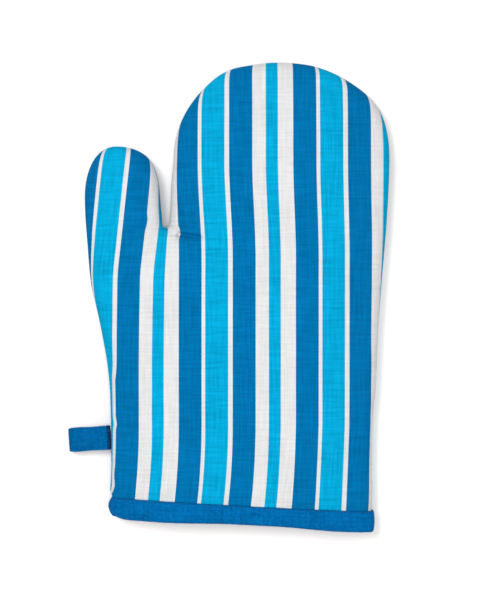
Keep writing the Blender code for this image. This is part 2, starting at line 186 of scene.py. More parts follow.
# Along the right edge, where the mitt is drawn in, the cloth follows.
DRAWN_SHARE = 1.25
DRAWN_SHARE_X = (76.0, 82.0)

# Pulls along both edges: a shift, and the stretches of x and of y over which it grows.
EVERYWHERE = (-200.0, -190.0)
PULLS = (
    (0.1, (72.0, 82.0), EVERYWHERE),
    (0.1, (72.0, 82.0), (5.0, 30.0)),
    (0.4, (74.0, 82.0), (-28.0, -40.0)),
    (-4.2, (-62.0, -68.0), (-114.0, -118.0)),
    (1.7, (-64.5, -67.0), (-104.0, -112.0)),
    (-1.2, (-64.5, -67.0), (-38.0, -50.0)),
    (-0.5, (-68.8, -70.8), (-45.0, -65.0)),
)

# Kinks where a crease takes cloth up: a shift, a place and how far it reaches in x and in y.
KINKS = (
    (1.1, (-30.0, 38.0), (5.0, 3.0)),
    (1.2, (-70.0, -75.0), (6.0, 2.2)),
    (0.8, (-50.0, 45.0), (7.0, 4.0)),
)

# Simulation: frames, how firmly each part keeps its place and over what height that grows at the cuff, the
# furthest that a point may move, the share of the rolled edge's extra length that is cut, and the cloth
# itself.
CLOTH_FRAMES = 22
HOLD_MIDDLE = 0.25
HOLD_SEAM = 0.75
HOLD_FADE = 12.0
FARTHEST_MOVE = 1.6
EASE = 0.55
CLOTH_SETTINGS = {
    "quality": 5,
    "mass": 0.2,
    "tension_stiffness": 12,
    "compression_stiffness": 12,
    "shear_stiffness": 6,
    "bending_stiffness": 0.6,
    "tension_damping": 8,
    "compression_damping": 8,
    "use_pressure": True,
    "uniform_pressure_force": 3.0,
    "vertex_group_mass": "hold",
    "pin_stiffness": 1.0,
}

# The wadding follows this share of the skin's moves sideways, each point by the mean of its nearest
# neighbours, and the lining follows this share of the wadding's moves.
WADDING_FOLLOWS = 0.8
LINING_FOLLOWS = 0.3
NEIGHBOURS = 9

# Creases pressed into the front panel: two ends, depth, half-width and the share of the depth lost by the far
# end. The valley's lower side is wider by a factor. A ridge stands beside it, at a distance and width in
# half-widths. Creases fade out over the last stretch before the seam.
CREASES = (
    ((-36.6, 40.4), (-29.6, 37.6), 1.2, 0.8, 0.0),
    ((-29.6, 37.4), (-17.4, 35.6), 3.0, 0.95, 0.25),
    ((-42.6, 41.6), (-66.0, 40.6), 0.7, 0.9, 0.6),
    ((-42.0, 46.0), (-50.5, 46.6), 0.7, 0.8, 0.5),
    ((-69.5, -72.0), (-61.5, -75.2), 1.2, 0.8, 0.6),
    ((-70.0, -28.0), (-64.5, -28.6), 0.45, 1.0, 0.6),
    ((-69.5, -118.0), (-56.5, -119.8), 1.5, 0.8, 0.3),
)
RIDGE_SHARE = 0.1
RIDGE_AT = 2.4
RIDGE_WIDTH = 1.5
GENTLE_FACTOR = 2.2
CREASE_FADE = (1.0, 5.0)

# Threads. Their last two rings are these shares of the radius. The seam's stitches sink and sway by a share
# of it. The binding's are dashes that start and end at these shares of a stitch, and each line's place is a
# depth and a distance below the binding's top.
THREAD_SIDES = 6
THREAD_ENDS = (0.35, 0.8)
SEAM_THREAD_RADIUS = 0.25
SEAM_THREAD_SUNK = 0.4
SEAM_THREAD_SWAY = 0.5
SEAM_STITCH = 3.0
SEAM_STITCH_POINTS = 6
BINDING_THREAD_RADIUS = 0.17
BINDING_STITCH = 2.8
BINDING_DASH = (0.06, 0.9)
BINDING_DASH_POINTS = 7
BINDING_LINES = (("outer", 0.02, 0.5), ("inner", 6.3, 0.9))

# The mouth: rows and depth from which places round it are worked out, the spacing of stations and how often
# they are smoothed. The binding's folded edges stand this high above the raw edge.
MOUTH_TOP = 12.5
MOUTH_DEEP = 6.3
MOUTH_STEP = 0.9
MOUTH_PASSES = 6
BINDING_TOP = 11.0
BINDING_THICKNESS = 0.9

# The binding's section: the depths of its outer and inner faces, how far each bows and over what height,
# where the faces end, and the turn under the raw edge as a centre (depth, height) and its half-width and
# drop. At the mouth's right end the turn is squarer.
OUTER_DEPTH = 0.62
OUTER_BOW = -0.75
INNER_DEPTH = 5.72
INNER_BOW = 0.25
BOW_HEIGHT = 10.5
FACES_END = 1.2
TURN_CENTRE = (3.15, 0.7)
TURN_REACH = (2.75, 1.9)
OUTER_POINTS = 13
TURN_POINTS = 9
INNER_POINTS = 9
PROFILE_POINTS = 30
ROUND_TURN = 1.0
SQUARE_TURN = 0.45
EDGE_THINNING = 0.85
EDGE_ROUNDING = 0.8

# How the binding strays from that: a wobble and a finer crinkle, each as its numbers of waves round the mouth
# and the seed of their heights and phases, which are drawn from between these. Then how far down the face
# bulges, how high both are, how far from each end the crinkle grows, and what bulges at the ends.
WOBBLE = ((23, 37, 61, 83, 109), 3)
CRINKLE = ((131, 157, 173, 211), 5)
WAVE_HEIGHTS = (0.5, 1)
WAVE_PHASES = (0, 6.28)
BULGE_REACH = BINDING_TOP + 1.5
WOBBLE_OUT = 0.22
WOBBLE_UP = 0.12
CRINKLE_MIDDLE = 0.07
CRINKLE_LEFT = (0.1, 14.0)
CRINKLE_RIGHT = (0.16, 40.0)
CRINKLE_HEIGHTS = (5.0, 11.0)
OUTSIDE_DEPTHS = (1.5, 4.5)
LEFT_END = 10.0
LEFT_BULGE = 1.2
LEFT_SHRINK = 0.1
RIGHT_END = 5.0
RIGHT_BULGE = 0.35
RIGHT_LOW_BULGE = 0.7
RIGHT_LOW_HEIGHT = 8.0

# The hem bows up between its ends: by how much, where along it the rise starts and levels out from either
# end, and the largest share of the way down that counts, as the raw edge is 1.
HEM_RISE = 1.2
HEM_FROM_LEFT = (30.0, 75.0)
HEM_FROM_RIGHT = (18.0, 58.0)
HEM_LOWEST = 1.1

# Hanging loop. Its two runs are given in side view, as (outwards, up) from its root in the seam. The tape is
# a little narrower, leans aside and turns its edges down between its ends.
LOOP_ROOT = np.array((-73.6, -84.0))
LOOP_HEADING = math.radians(183.5)
LOOP_WIDTH = 14.3
LOOP_LENGTH = 22.3
LOOP_TIP_RADIUS = 5.0
LOOP_LOWER = ((-2.2, -0.5), (0.6, -0.62), (5.0, -2.6), (10.0, -5.8))
LOOP_UPPER = ((10.5, -0.95), (4.5, 0.35), (0.6, 0.62), (-2.2, 0.5))
LOOP_TIP_POINTS = 15
LOOP_STATIONS = 90
LOOP_PASSES = 12
LOOP_NARROWING = 0.03
LOOP_WAVER = (0.08, 21.0)
LOOP_LEAN = 0.5
LOOP_EDGE_DROP = 0.1
TAPE_THICKNESS = 0.9
TAPE_SIDES = 20
TAPE_SQUARENESS = (0.25, 0.6)
TACK_SPAN = (-2.7, -0.7)
TACK_HALF_HEIGHT = 1.15
TACK_RADIUS = 0.29
TACK_PITCH = 0.5
TACK_SKEW = 0.25
TACK_POINTS = 16
TACK_SQUARENESS = (0.5, 0.4)
TAIL_SPAN = (-7.6, -5.9)
TAIL_THICKNESS = 0.7
TAIL_STATIONS = 6
TAIL_SIDES = 16


def smooth(share):
    """0 to 1, level at both ends."""
    share = np.clip(share, 0.0, 1.0)
    return share * share * (3 - 2 * share)


def ramp(value, start, end):
    """0 before the start, 1 after the end, and smooth between."""
    return smooth((value - start) / (end - start))


def unit(rows):
    return rows / np.maximum(np.linalg.norm(rows, axis=-1, keepdims=True), 1e-12)


def direction(angle):
    return np.array((math.cos(angle), math.sin(angle)))


# ---- Outline ----

CUFF_ALONG = -direction(-CUFF_LEAN)
CUFF_UP = np.array((CUFF_ALONG[1], -CUFF_ALONG[0]))
FOLD_ALONG = unit(CROTCH - WRIST)
FOLD_OUT = np.array((-FOLD_ALONG[1], FOLD_ALONG[0]))


def cuff_side(row, left):
    """Where a side seam crosses a row of the cuff."""
    start = CUFF_RIGHT + CUFF_UP * row
    return start + CUFF_ALONG * CUFF_WIDTH if left else start


def arc_between(start, end):
    """Points from one anchor to the next, on the Bezier nearest a circular arc."""
    a, b = np.array(start[:2]), np.array(end[:2])
    turn = math.radians(end[2] - start[2])
    handle = np.linalg.norm(b - a) / (3 * math.cos(turn / 4) ** 2)
    c = a + direction(math.radians(start[2])) * handle
    d = b - direction(math.radians(end[2])) * handle
    t = np.linspace(0, 1, ARC_POINTS, endpoint=False)[:, None]
    u = 1 - t
    return a * u**3 + c * 3 * u * u * t + d * 3 * u * t * t + b * t**3


def lengths_along(line):
    """How far along a line each of its points is."""
    return np.concatenate([[0], np.cumsum(np.linalg.norm(np.diff(line, axis=0), axis=1))])


def closed_line(line):
    """A line of points that ends where it starts."""
    return np.vstack([line, line[:1]])


def resampled(line, marks):
    """Points of a line at given distances along it."""
    length = lengths_along(line)
    return np.column_stack([np.interp(marks, length, line[:, k]) for k in range(line.shape[1])])


def distance_to(line, places):
    """How far each place is from a line of points."""
    nearest = np.full(len(places), np.inf)
    for a, b in zip(line, line[1:]):
        span = b - a
        share = np.clip((places - a) @ span / (span @ span), 0, 1)
        nearest = np.minimum(nearest, np.linalg.norm(places - a - share[:, None] * span, axis=1))
    return nearest


def edges_of(faces):
    """Each triangle's three edges, in the triangle's direction."""
    return np.vstack([faces[:, (0, 1)], faces[:, (1, 2)], faces[:, (2, 0)]])


def is_inside(polygon, places):
    """Which places lie inside a polygon, by how often a line to the right of each crosses it."""
    inside = np.zeros(len(places), bool)
    for a, b in zip(polygon, np.roll(polygon, -1, axis=0)):
        crosses = (a[1] > places[:, 1]) != (b[1] > places[:, 1])
        rise = b[1] - a[1] if b[1] != a[1] else 1.0
        inside ^= crosses & (places[:, 0] < a[0] + (b[0] - a[0]) * (places[:, 1] - a[1]) / rise)
    return inside


def hemmed(points):
    """Places near the cuff with the hem's bow added."""
    off = points[:, :2] - CUFF_RIGHT
    from_right = off @ CUFF_ALONG
    from_left = CUFF_WIDTH - from_right
    rise = HEM_RISE * ramp(from_left, *HEM_FROM_LEFT) * ramp(from_right, *HEM_FROM_RIGHT)
    low = np.clip(1 - off @ CUFF_UP / BINDING_TOP, 0, HEM_LOWEST)
    moved = points.copy()
    moved[:, :2] += (rise * low**2)[:, None] * CUFF_UP
    return moved


# ---- The net of points that the layers share ----


class Net:
    """Rings round the rolled edge, then the middle of the panel: which points there are and how they join."""

    def __init__(self, ring_angles, cuff_rows, columns, step, finest, fine_step):
        self.angles = np.radians(ring_angles)
        self.rings = len(ring_angles)
        self.cuff_rows = cuff_rows
        self.columns = columns
        self.step = step
        self.seam, self.inward = self.outline_points(finest)
        self.count = len(self.seam)
        self.on_rings = self.rings * self.count
        self.first = self.on_rings - self.count
        ring = self.ring_plan(self.rings - 1)
        self.fold_ends = self.fold_columns()
        self.rows, row_points = self.row_points(ring)
        fold = self.fold_points(ring, finest)
        grid = self.grid_points(fold, fine_step)
        self.middle = np.vstack([row_points, fold, grid])
        self.fold_from = len(row_points)
        self.fold_count = len(fold)
        self.total = self.on_rings + len(self.middle)
        self.faces = self.joined(ring)
        self.plan = np.vstack([self.ring_plan(k) for k in range(self.rings)] + [self.middle])
        self.edge = distance_to(self.seam, self.plan)
        self.edge[: self.on_rings] = np.repeat(ROLL_RADIUS * (1 - np.cos(self.angles)), self.count)
        self.above_cuff = (self.plan - CUFF_RIGHT) @ CUFF_UP
        self.drawn_in = DRAWN_IN * ramp(self.plan[:, 0], *DRAWN_IN_X) * ramp(self.above_cuff, *DRAWN_IN_ROWS)
        self.pushed_out = PUSHED_OUT * ramp(self.plan[:, 0], *PUSHED_OUT_X)
        for rows in PUSHED_OUT_ROWS:
            self.pushed_out = self.pushed_out * ramp(self.above_cuff, *rows)
        self.crown = self.crown_heights()
        self.outward = self.outward_ways()
        self.in_thumb = self.thumb_faces(ring)

    def outline_points(self, finest):
        """The seam from the cuff's right end to its left, closer near the crotch, and each point's way in."""
        right = [cuff_side(row, False) for row in self.cuff_rows]
        left = [cuff_side(row, True) for row in reversed(self.cuff_rows)]
        start, end = CUFF_SIDE_HEADINGS
        anchors = [(*right[-1], start), *OUTLINE, (*left[0], end)]
        dense = np.vstack([arc_between(a, b) for a, b in zip(anchors, anchors[1:])] + [left[0][None]])
        length = lengths_along(dense)
        near = np.linalg.norm(dense - CROTCH, axis=1)
        marks = [0.0]
        while marks[-1] < length[-1]:
            here = np.interp(marks[-1], length, near)
            marks.append(marks[-1] + min(self.step, finest + here * SEAM_GROWTH))
        marks = np.array(marks) * length[-1] / marks[-1]
        points = np.vstack([right[:-1], resampled(dense, marks)[:-1], left])
        along = np.zeros_like(points)
        along[1:-1] = points[2:] - points[:-2]
        inward = unit(np.column_stack([-along[:, 1], along[:, 0]]))
        inward[: len(right)] = CUFF_ALONG
        inward[-len(left) :] = -CUFF_ALONG
        return points, inward

    def ring_plan(self, ring):
        """Where a ring's points are, seen from above."""
        return self.seam + self.inward * (ROLL_RADIUS - ROLL_RADIUS * math.cos(self.angles[ring]))

    def fold_columns(self):
        """Where on the seam the thumb's fold starts, at the crotch, and ends, at the wrist."""
        crotch = int(np.argmin(np.linalg.norm(self.seam - CROTCH, axis=1)))
        off_line = np.abs((self.seam - WRIST) @ FOLD_OUT)
        off_line[: crotch + PAST_CROTCH] = np.inf
        return crotch, int(np.argmin(off_line))

    def row_points(self, ring):
        """The points across the middle in each row at the cuff, and their numbers in the net by row."""
        share = (np.arange(self.columns) + 1)[:, None] / (self.columns + 1)
        points = []
        rows = []
        for row, _ in enumerate(self.cuff_rows):
            right, left = ring[row], ring[self.count - 1 - row]
            rows.append(self.on_rings + row * self.columns + np.arange(self.columns))
            points.append(left + (right - left) * share)
        return rows, np.vstack(points)

    def fold_points(self, ring, finest):
        """Points down the thumb's fold, between the rings at its ends."""
        start, end = (ring[k] for k in self.fold_ends)
        length = np.linalg.norm(end - start)
        marks = [0.0]
        while marks[-1] < length:
            marks.append(marks[-1] + min(self.step, FOLD_FIRST_STEPS * finest + marks[-1] * FOLD_GROWTH))
        share = np.array(marks[1:-1]) / marks[-1]
        return start + (end - start) * share[:, None]

    def grid_points(self, fold, fine_step):
        """A triangular grid clear of the rings, rows and fold, and finer round the crotch."""
        low, high = self.seam.min(0), self.seam.max(0)
        edge = ROLL_RADIUS * (1 - math.cos(self.angles[-1]))
        found = []
        for step, fine in ((self.step, False), (fine_step, True)):
            rise = step * math.sqrt(0.75)
            j, i = np.mgrid[0 : int((high[1] - low[1]) / rise) + 1, 0 : int((high[0] - low[0]) / step) + 2]
            across = low[0] + (i + 0.5 * (j % 2)) * step
            places = np.column_stack([across.ravel(), (low[1] + j * rise).ravel()])
            off = np.linalg.norm(places - FINE_CENTRE, axis=1)
            keep = off < FINE_REACH if fine else off >= FINE_REACH + self.step / 2
            keep &= (places - CUFF_RIGHT) @ CUFF_UP > self.cuff_rows[-1] + step / 2
            places = places[keep]
            places = places[is_inside(self.seam, places)]
            places = places[distance_to(self.seam, places) > edge + GRID_CLEARANCE * step]
            found.append(places[distance_to(fold, places) > GRID_CLEARANCE * step])
        return np.vstack(found)

    def joined(self, ring):
        """Every triangle: strips between the rings, then the middle, with edges along rows and fold."""
        places = np.vstack([ring, self.middle])
        border = list(range(self.count)) + [i - self.first for i in self.rows[0]]
        line = self.count + self.fold_from + np.arange(self.fold_count)
        line = [self.fold_ends[0], *line, self.fold_ends[1]]
        ties = list(zip(line, line[1:]))
        for row, indices in enumerate(self.rows[1:], start=1):
            across = [self.count - 1 - row, *(indices - self.first), row]
            ties += list(zip(across, across[1:]))
        ties = [(int(a), int(b)) for a, b in ties]
        made = delaunay_2d_cdt([Vector(p) for p in places], ties, [[int(i) for i in border]], 1, 1e-5)
        original = np.array([ids[0] for ids in made[3]])
        faces = original[np.array(made[2])]
        a, b, c = (places[faces[:, k]] for k in range(3))
        turn = (b[:, 0] - a[:, 0]) * (c[:, 1] - a[:, 1]) - (b[:, 1] - a[:, 1]) * (c[:, 0] - a[:, 0])
        faces[turn < 0] = faces[turn < 0][:, ::-1]
        n = self.count
        i = (np.arange(self.rings - 1)[:, None] * n + np.arange(n - 1)).ravel()
        rolled = np.stack([np.column_stack([i, i + 1, i + 1 + n]), np.column_stack([i, i + 1 + n, i + n])], 1)
        return np.vstack([rolled.reshape(-1, 3), faces + self.first])

    def thumb_faces(self, ring):
        """Which faces belong to the thumb."""
        crotch, wrist = self.fold_ends
        rolled = 2 * (self.rings - 1) * (self.count - 1)
        column = np.arange(rolled) // 2 % (self.count - 1)
        on_edge = (column >= crotch) & (column < wrist)
        start, end = ring[crotch], ring[wrist]
        centre = self.plan[self.faces[rolled:]].mean(1)
        span, off = end - start, centre - start
        beside = span[0] * off[:, 1] - span[1] * off[:, 0] < 0
        inside = np.where(centre[:, 1] > start[1], centre[:, 0] < start[0], beside)
        return np.concatenate([on_edge, inside])

    def crown_heights(self):
        """How far the middle stands above the rolled edge: a membrane swollen by air and held by springs."""
        pairs = np.unique(np.sort(edges_of(self.faces), axis=1), axis=0)
        pairs = pairs[(pairs >= self.first).all(axis=1)] - self.first
        places = self.plan[self.first :]
        a = np.concatenate([pairs[:, 0], pairs[:, 1]])
        b = np.concatenate([pairs[:, 1], pairs[:, 0]])
        size = len(places)
        degree = np.bincount(a, minlength=size)
        spread = np.bincount(a, ((places[a] - places[b]) ** 2).sum(1), minlength=size) / degree
        stiffness = 4 / spread
        share = smooth(self.above_cuff[self.first :] / CUFF_CROWN_REACH)
        swell = (CUFF_CROWN_SHARE + (1 - CUFF_CROWN_SHARE) * share) * CROWN / CROWN_REACH**2
        heights = np.zeros(size)
        for _ in range(CROWN_PASSES):
            around = np.bincount(a, heights[b], minlength=size) / degree
            heights = (stiffness * around + swell) / (stiffness + 1 / CROWN_REACH**2)
            heights[: self.count] = 0
        return np.concatenate([np.zeros(self.first), heights])

    def outward_ways(self):
        """For each point near the edge, the way to the nearest stretch of seam."""
        out = np.zeros((self.total, 2))
        out[: self.on_rings] = np.tile(-self.inward, (self.rings, 1))
        near = np.flatnonzero((self.edge < ROLL_RADIUS) & (np.arange(self.total) >= self.on_rings))
        gap = ((self.plan[near][:, None] - self.seam[None]) ** 2).sum(2)
        out[near] = -self.inward[gap.argmin(1)]
        return out

    def flat_places(self, ease=1.0, depth=0.0):
        """Where each point lies on the flat, cut panel.

        Cloth goes further over the rolled edge than its plan shows. At the crotch the panels are clipped
        instead, so there the difference fades.
        """
        angle = np.arccos(1 - np.minimum(self.edge, ROLL_RADIUS) / ROLL_RADIUS)
        excess = (ROLL_RADIUS - depth) * (math.pi / 2 - angle) - ROLL_RADIUS * np.cos(angle)
        fade = smooth(np.linalg.norm(self.plan - CROTCH, axis=1) / CLIPPED_REACH)
        return self.plan + self.outward * (ease * excess * fade)[:, None]

    def pressed(self, depth):
        """Depth of each point once the binding has pressed the layers together."""
        outer, inner = WADDING
        share = np.clip((depth - outer) / (inner - outer), 0, 1)
        at_left = ramp(self.plan[:, 0], *SQUEEZE_LEFT_X)
        push = SQUEEZE_OUTER + (SQUEEZE_LEFT - SQUEEZE_OUTER) * at_left
        pressed = depth + push - share * (push + SQUEEZE_INNER)
        start, end = SQUEEZED
        end = end - SQUEEZE_LEFT_DROP * at_left
        deep = pressed + (depth - pressed) * smooth((self.above_cuff - start) / (end - start))
        return np.maximum(deep, depth + self.drawn_in * (1 - share)) - self.pushed_out * (1 - share)

    def surface(self, depth, front, lift=SEAM_GAP, pressed=True):
        """Every point of the front or back panel at a depth below its outer surface."""
        side = 1 if front else -1
        depths = self.pressed(depth) if pressed else np.full(self.total, depth)
        if front:
            rise = EDGE_RISE + self.crown
        else:
            rise = np.sqrt(ROLL_RADIUS**2 - np.maximum(0, ROLL_RADIUS - self.edge) ** 2)
        points = np.column_stack([self.plan, SEAM_HEIGHT + side * (rise - depths)])
        for ring, angle in enumerate(self.angles):
            here = slice(ring * self.count, (ring + 1) * self.count)
            radius = ROLL_RADIUS - depths[here]
            if pressed:
                radius = radius - GROOVE_DEPTH * max(0.0, 1 - angle / GROOVE_ANGLE) ** 2
            spot = self.seam + self.inward * (ROLL_RADIUS - radius * math.cos(angle))[:, None]
            up = np.maximum(lift, radius * math.sin(angle))
            points[here] = np.column_stack([spot, SEAM_HEIGHT + side * up])
        return points


# ---- Panels ----


def crease_moves(places):
    """How far the creases lower each place of the front: valleys steep above and gentle below, and ridges."""
    total = np.zeros(len(places))
    for start, end, depth, width, lost in CREASES:
        a, b = np.array(start), np.array(end)
        span = b - a
        share = (places - a) @ span / (span @ span)
        off = np.linalg.norm(places - a - np.clip(share, 0, 1)[:, None] * span, axis=1)
        fade = 1 - lost * np.clip(share, 0, 1)
        turned = (places - a) @ np.array((-span[1], span[0])) * math.copysign(1, span[0])
        off = off * np.where(turned > 0, 1, 1 / GENTLE_FACTOR)
        valley = np.exp(-((off / width) ** 2))
        ridge = np.exp(-(((off - RIDGE_AT * width) / (RIDGE_WIDTH * width)) ** 2))
        total += depth * fade * (RIDGE_SHARE * ridge - valley)
    return total


def joined_skin(net):
    """Both outer skins as one mesh, welded along the seam: points, flat points, hold weights and faces."""
    front, back = net.surface(0.0, True), net.surface(0.0, False)
    n = net.count
    seam = (front[:n] + back[:n]) / 2
    points = np.vstack([seam, front[n:], back[n:]])
    flat = net.flat_places(EASE)
    flat = np.column_stack([flat, np.zeros(net.total)])
    flat = np.vstack([flat, flat[n:]])
    to_back = np.concatenate([np.arange(n), np.arange(n, net.total) + net.total - n])
    faces = np.vstack([net.faces, to_back[net.faces][:, ::-1]])
    hold = np.full(len(points), HOLD_MIDDLE)
    hold[:n] = HOLD_SEAM
    above = np.concatenate([net.above_cuff, net.above_cuff[n:]])
    hold = np.maximum(hold, 1 - smooth((above - SQUEEZED[0]) / HOLD_FADE))
    return points, flat, hold, faces, to_back


def simulated_moves(net):
    """How cloth that is cut flat, sewn and blown up settles: each point's move, for the front and back."""
    points, flat, hold, faces, to_back = joined_skin(net)
    mesh = bpy.data.meshes.new("skin")
    mesh.from_pydata((points * MM).tolist(), [], faces.tolist())
    skin = bpy.data.objects.new("skin", mesh)
    bpy.context.scene.collection.objects.link(skin)
    skin.shape_key_add(name="sewn")
    cut = skin.shape_key_add(name="flat")
    cut.data.foreach_set("co", (flat * MM).ravel())
    group = skin.vertex_groups.new(name="hold")
    for index, weight in enumerate(hold):
        group.add([index], float(weight), "REPLACE")
    cloth = skin.modifiers.new("cloth", "CLOTH")
    settings = cloth.settings
    for name, value in CLOTH_SETTINGS.items():
        setattr(settings, name, value)
    settings.rest_shape_key = cut
    settings.effector_weights.gravity = 0
    cloth.point_cache.frame_start = 1
    cloth.point_cache.frame_end = CLOTH_FRAMES
    scene = bpy.context.scene
    for step in range(1, CLOTH_FRAMES + 1):
        scene.frame_set(step)
    settled = skin.evaluated_get(bpy.context.evaluated_depsgraph_get())
    places = np.empty(len(points) * 3)
    settled.data.vertices.foreach_get("co", places)
    moves = places.reshape(-1, 3) / MM - points
    scene.frame_set(1)
    bpy.data.objects.remove(skin)
    length = np.linalg.norm(moves, axis=1, keepdims=True)
    moves *= np.minimum(1, FARTHEST_MOVE / np.maximum(length, 1e-9))
    return moves[: net.total], moves[to_back]


def skin_moves(net):
    """Every move of the outer skins away from their plain shape, with the back kept off the floor."""
    front, back = simulated_moves(net)
    front = front.copy()
    front[:, 2] += crease_moves(net.plan) * ramp(net.edge, *CREASE_FADE)
    floor = -net.surface(0.0, False)[:, 2]
    back[:, 2] = np.maximum(back[:, 2], np.minimum(floor, 0))
    return {True: front, False: back}


def spread_moves(fine, coarse, moves, share):
    """The fine net's moves at the coarse net's points, made smaller further inside the mitt."""
    found = {}
    for front in (True, False):
        tree = kdtree.KDTree(fine.total)
        for index, point in enumerate(fine.surface(0.0, front)):
            tree.insert(point, index)
        tree.balance()
        moved = np.zeros((coarse.total, 3))
        for index, point in enumerate(coarse.surface(0.0, front)):
            near = tree.find_n(point, NEIGHBOURS)
            places = moves[front][[k for _, k, _ in near]]
            moved[index] = places.mean(0)
            moved[index, 2] = places[:, 2].min() if front else places[:, 2].max()
        moved[:, :2] *= share
        found[front] = moved
    return found


def vertex_normals(points, faces):
    """Each point's normal, from the faces round it by their area."""
    a, b, c = (points[faces[:, k]] for k in range(3))
    across = np.cross(b - a, c - a)
    total = np.zeros_like(points)
    for k in range(3):
        np.add.at(total, faces[:, k], across)
    return unit(total)


def border_of(faces):
    """Edges that only one face has, in that face's direction."""
    edges = edges_of(faces)
    _, index, count = np.unique(np.sort(edges, axis=1), axis=0, return_inverse=True, return_counts=True)
    return edges[count[index.ravel()] == 1]


def new_object(name, points, faces, material):
    """A smooth-shaded object from points in millimetres."""
    mesh = bpy.data.meshes.new(name)
    mesh.from_pydata((np.asarray(points) * MM).tolist(), [], [tuple(int(i) for i in f) for f in faces])
    mesh.polygons.foreach_set("use_smooth", [True] * len(mesh.polygons))
    mesh.materials.append(material)
    thing = bpy.data.objects.new(name, mesh)
    bpy.context.scene.collection.objects.link(thing)
    return thing


def add_cloth_map(mesh, places):
    """Stores where each vertex lies on its flat cloth, in centimetres, for the weave and the stripes."""
    layer = mesh.uv_layers.new(name="cloth")
    corners = np.empty(len(mesh.loops), int)
    mesh.loops.foreach_get("vertex_index", corners)
    layer.data.foreach_set("uv", (places[corners] / 10).ravel())


class Layer:
    """One layer of one panel, as an outer and an inner surface."""

    def __init__(self, net, depths, front, moves, lift):
        self.outer, self.inner = (hemmed(net.surface(depth, front, lift) + moves) for depth in depths)
        self.faces = net.faces if front else net.faces[:, ::-1]
        self.normals = vertex_normals(self.outer, self.faces)

    def piece(self, name, chosen, material, flat):
        """The chosen faces as a closed sheet, with normals that carry on into the neighbouring piece."""
        faces = self.faces[chosen]
        used, local = np.unique(faces, return_inverse=True)
        faces = local.reshape(-1, 3)
        size = len(used)
        points = np.vstack([self.outer[used], self.inner[used]])
        rim = [(b, a, size + a, size + b) for a, b in border_of(faces)]
        thing = new_object(name, points, [*faces, *(faces[:, ::-1] + size), *rim], material)
        mesh = thing.data
        add_cloth_map(mesh, np.vstack([flat[used], flat[used]]))
        normals = np.vstack([self.normals[used], -self.normals[used]])
        mesh.normals_split_custom_set_from_vertices(normals.tolist())
        return thing


def flat_facts(net, chosen, depth):
    """Width, length and area of the flat cut of some faces, in metres."""
    flat = net.flat_places(depth=depth)
    used = np.unique(net.faces[chosen])
    size = (flat[used].max(0) - flat[used].min(0)) * MM
    a, b, c = (flat[net.faces[chosen][:, k]] for k in range(3))
    area = ((b - a)[:, 0] * (c - a)[:, 1] - (b - a)[:, 1] * (c - a)[:, 0]).sum() / 2
    return tuple(float(s) for s in size), float(area * MM * MM)


def bend_hand(thing, part):
    """Bakes a piece's place into its mesh; the thumb and the main part are treated alike, and nothing is bent
    over a fold.
    """
    if part == "thumb":
        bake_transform(thing)
    else:
        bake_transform(thing)


def replace_hand_nodes(stem, part):
    """Hides the CAD nodes of the layer that a piece replaces: the thumb's, or the palm's and the fingers'."""
    regions = ("thumb",) if part == "thumb" else ("palm", "fingers")
    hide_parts(*(f"{stem}_{region}" for region in regions))


def add_panels(skin, pad, moves, materials):
    """Shell, wadding and lining of both panels, each as a main piece and a thumb piece."""
    deep = spread_moves(skin, pad, moves, WADDING_FOLLOWS)
    deepest = {side: move * LINING_FOLLOWS for side, move in deep.items()}
    plans = (
        ("shell", skin, SHELL, moves, SEAM_GAP, "striped_cotton"),
        ("wadding", pad, WADDING, deep, WADDING_GAP, "cotton_wadding"),
        ("lining", pad, LINING, deepest, SEAM_GAP, "white_lining"),
    )
    for kind, net, depths, shifts, lift, slot in plans:
        for front in (True, False):
            side = "front" if front else "back"
            layer = Layer(net, depths, front, shifts[front], lift)
            material = materials[f"{side}_shell"] if kind == "shell" else materials[slot]
            flat = cloth_places(net, front) if kind == "shell" else net.flat_places()
            for part, chosen in (("hand", ~net.in_thumb), ("thumb", net.in_thumb)):
                piece = layer.piece(f"{kind}_{side}_{part}", chosen, material, flat)
                bend_hand(piece, part)
                replace_hand_nodes(f"{side}_{kind}", part)
                if kind == "wadding":
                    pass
                else:
                    size, area = flat_facts(net, chosen, depths[0])


def hand_lean(x, y):
    """How far to the right the stripes above the crotch are shifted."""
    lean = np.interp(x, HAND_LEAN_X, HAND_LEAN) * ramp(y, *HAND_LEAN_Y)
    return lean * np.where(y < CROTCH[1], smooth((x - CROTCH[0]) / HAND_LEAN_FADE), x > CROTCH[0])


def thumb_lean(x, y):
    """How far to the right the thumb's stripes are shifted."""
    start, end = THUMB_LEAN_Y
    run = np.clip(y - start, 0, end - start) ** 2 / (2 * (end - start)) + np.maximum(0, y - end)
    lean = (THUMB_SHIFT * ramp(y, *THUMB_SHIFT_Y) + THUMB_LEAN * run) * ramp(x, *THUMB_X)
    return np.where((x < CROTCH[0]) | (y < CROTCH[1]), lean, 0)


def hem_lean(x, y):
    """How far to the right the stripes near the hem are shifted."""
    below = np.maximum(0, HEM_FROM - y)
    right = ramp(x, *HEM_SLOPE_X)
    return -(1 - right) * HEM_CURVE * below**2 - right * HEM_SLOPE * below


def cloth_places(net, front):
    """Where the shell's points lie on the striped cloth, laid a little askew and eased as it was sewn."""
    flat = net.flat_places()
    if not front:
        return flat
    x, y = net.plan[:, 0], net.plan[:, 1]
    shift = hand_lean(x, y) + thumb_lean(x, y) + hem_lean(x, y)
    shift += DRAWN_SHARE * net.drawn_in * ramp(x, *DRAWN_SHARE_X)
    for pull, over_x, over_y in PULLS:
        shift += pull * ramp(x, *over_x) * ramp(y, *over_y)
    for pull, place, reach in KINKS:
        shift += pull * np.exp(-(((net.plan - place) / reach) ** 2).sum(1))
    flat[:, 0] -= shift
    return flat


# ---- Tapes and threads ----


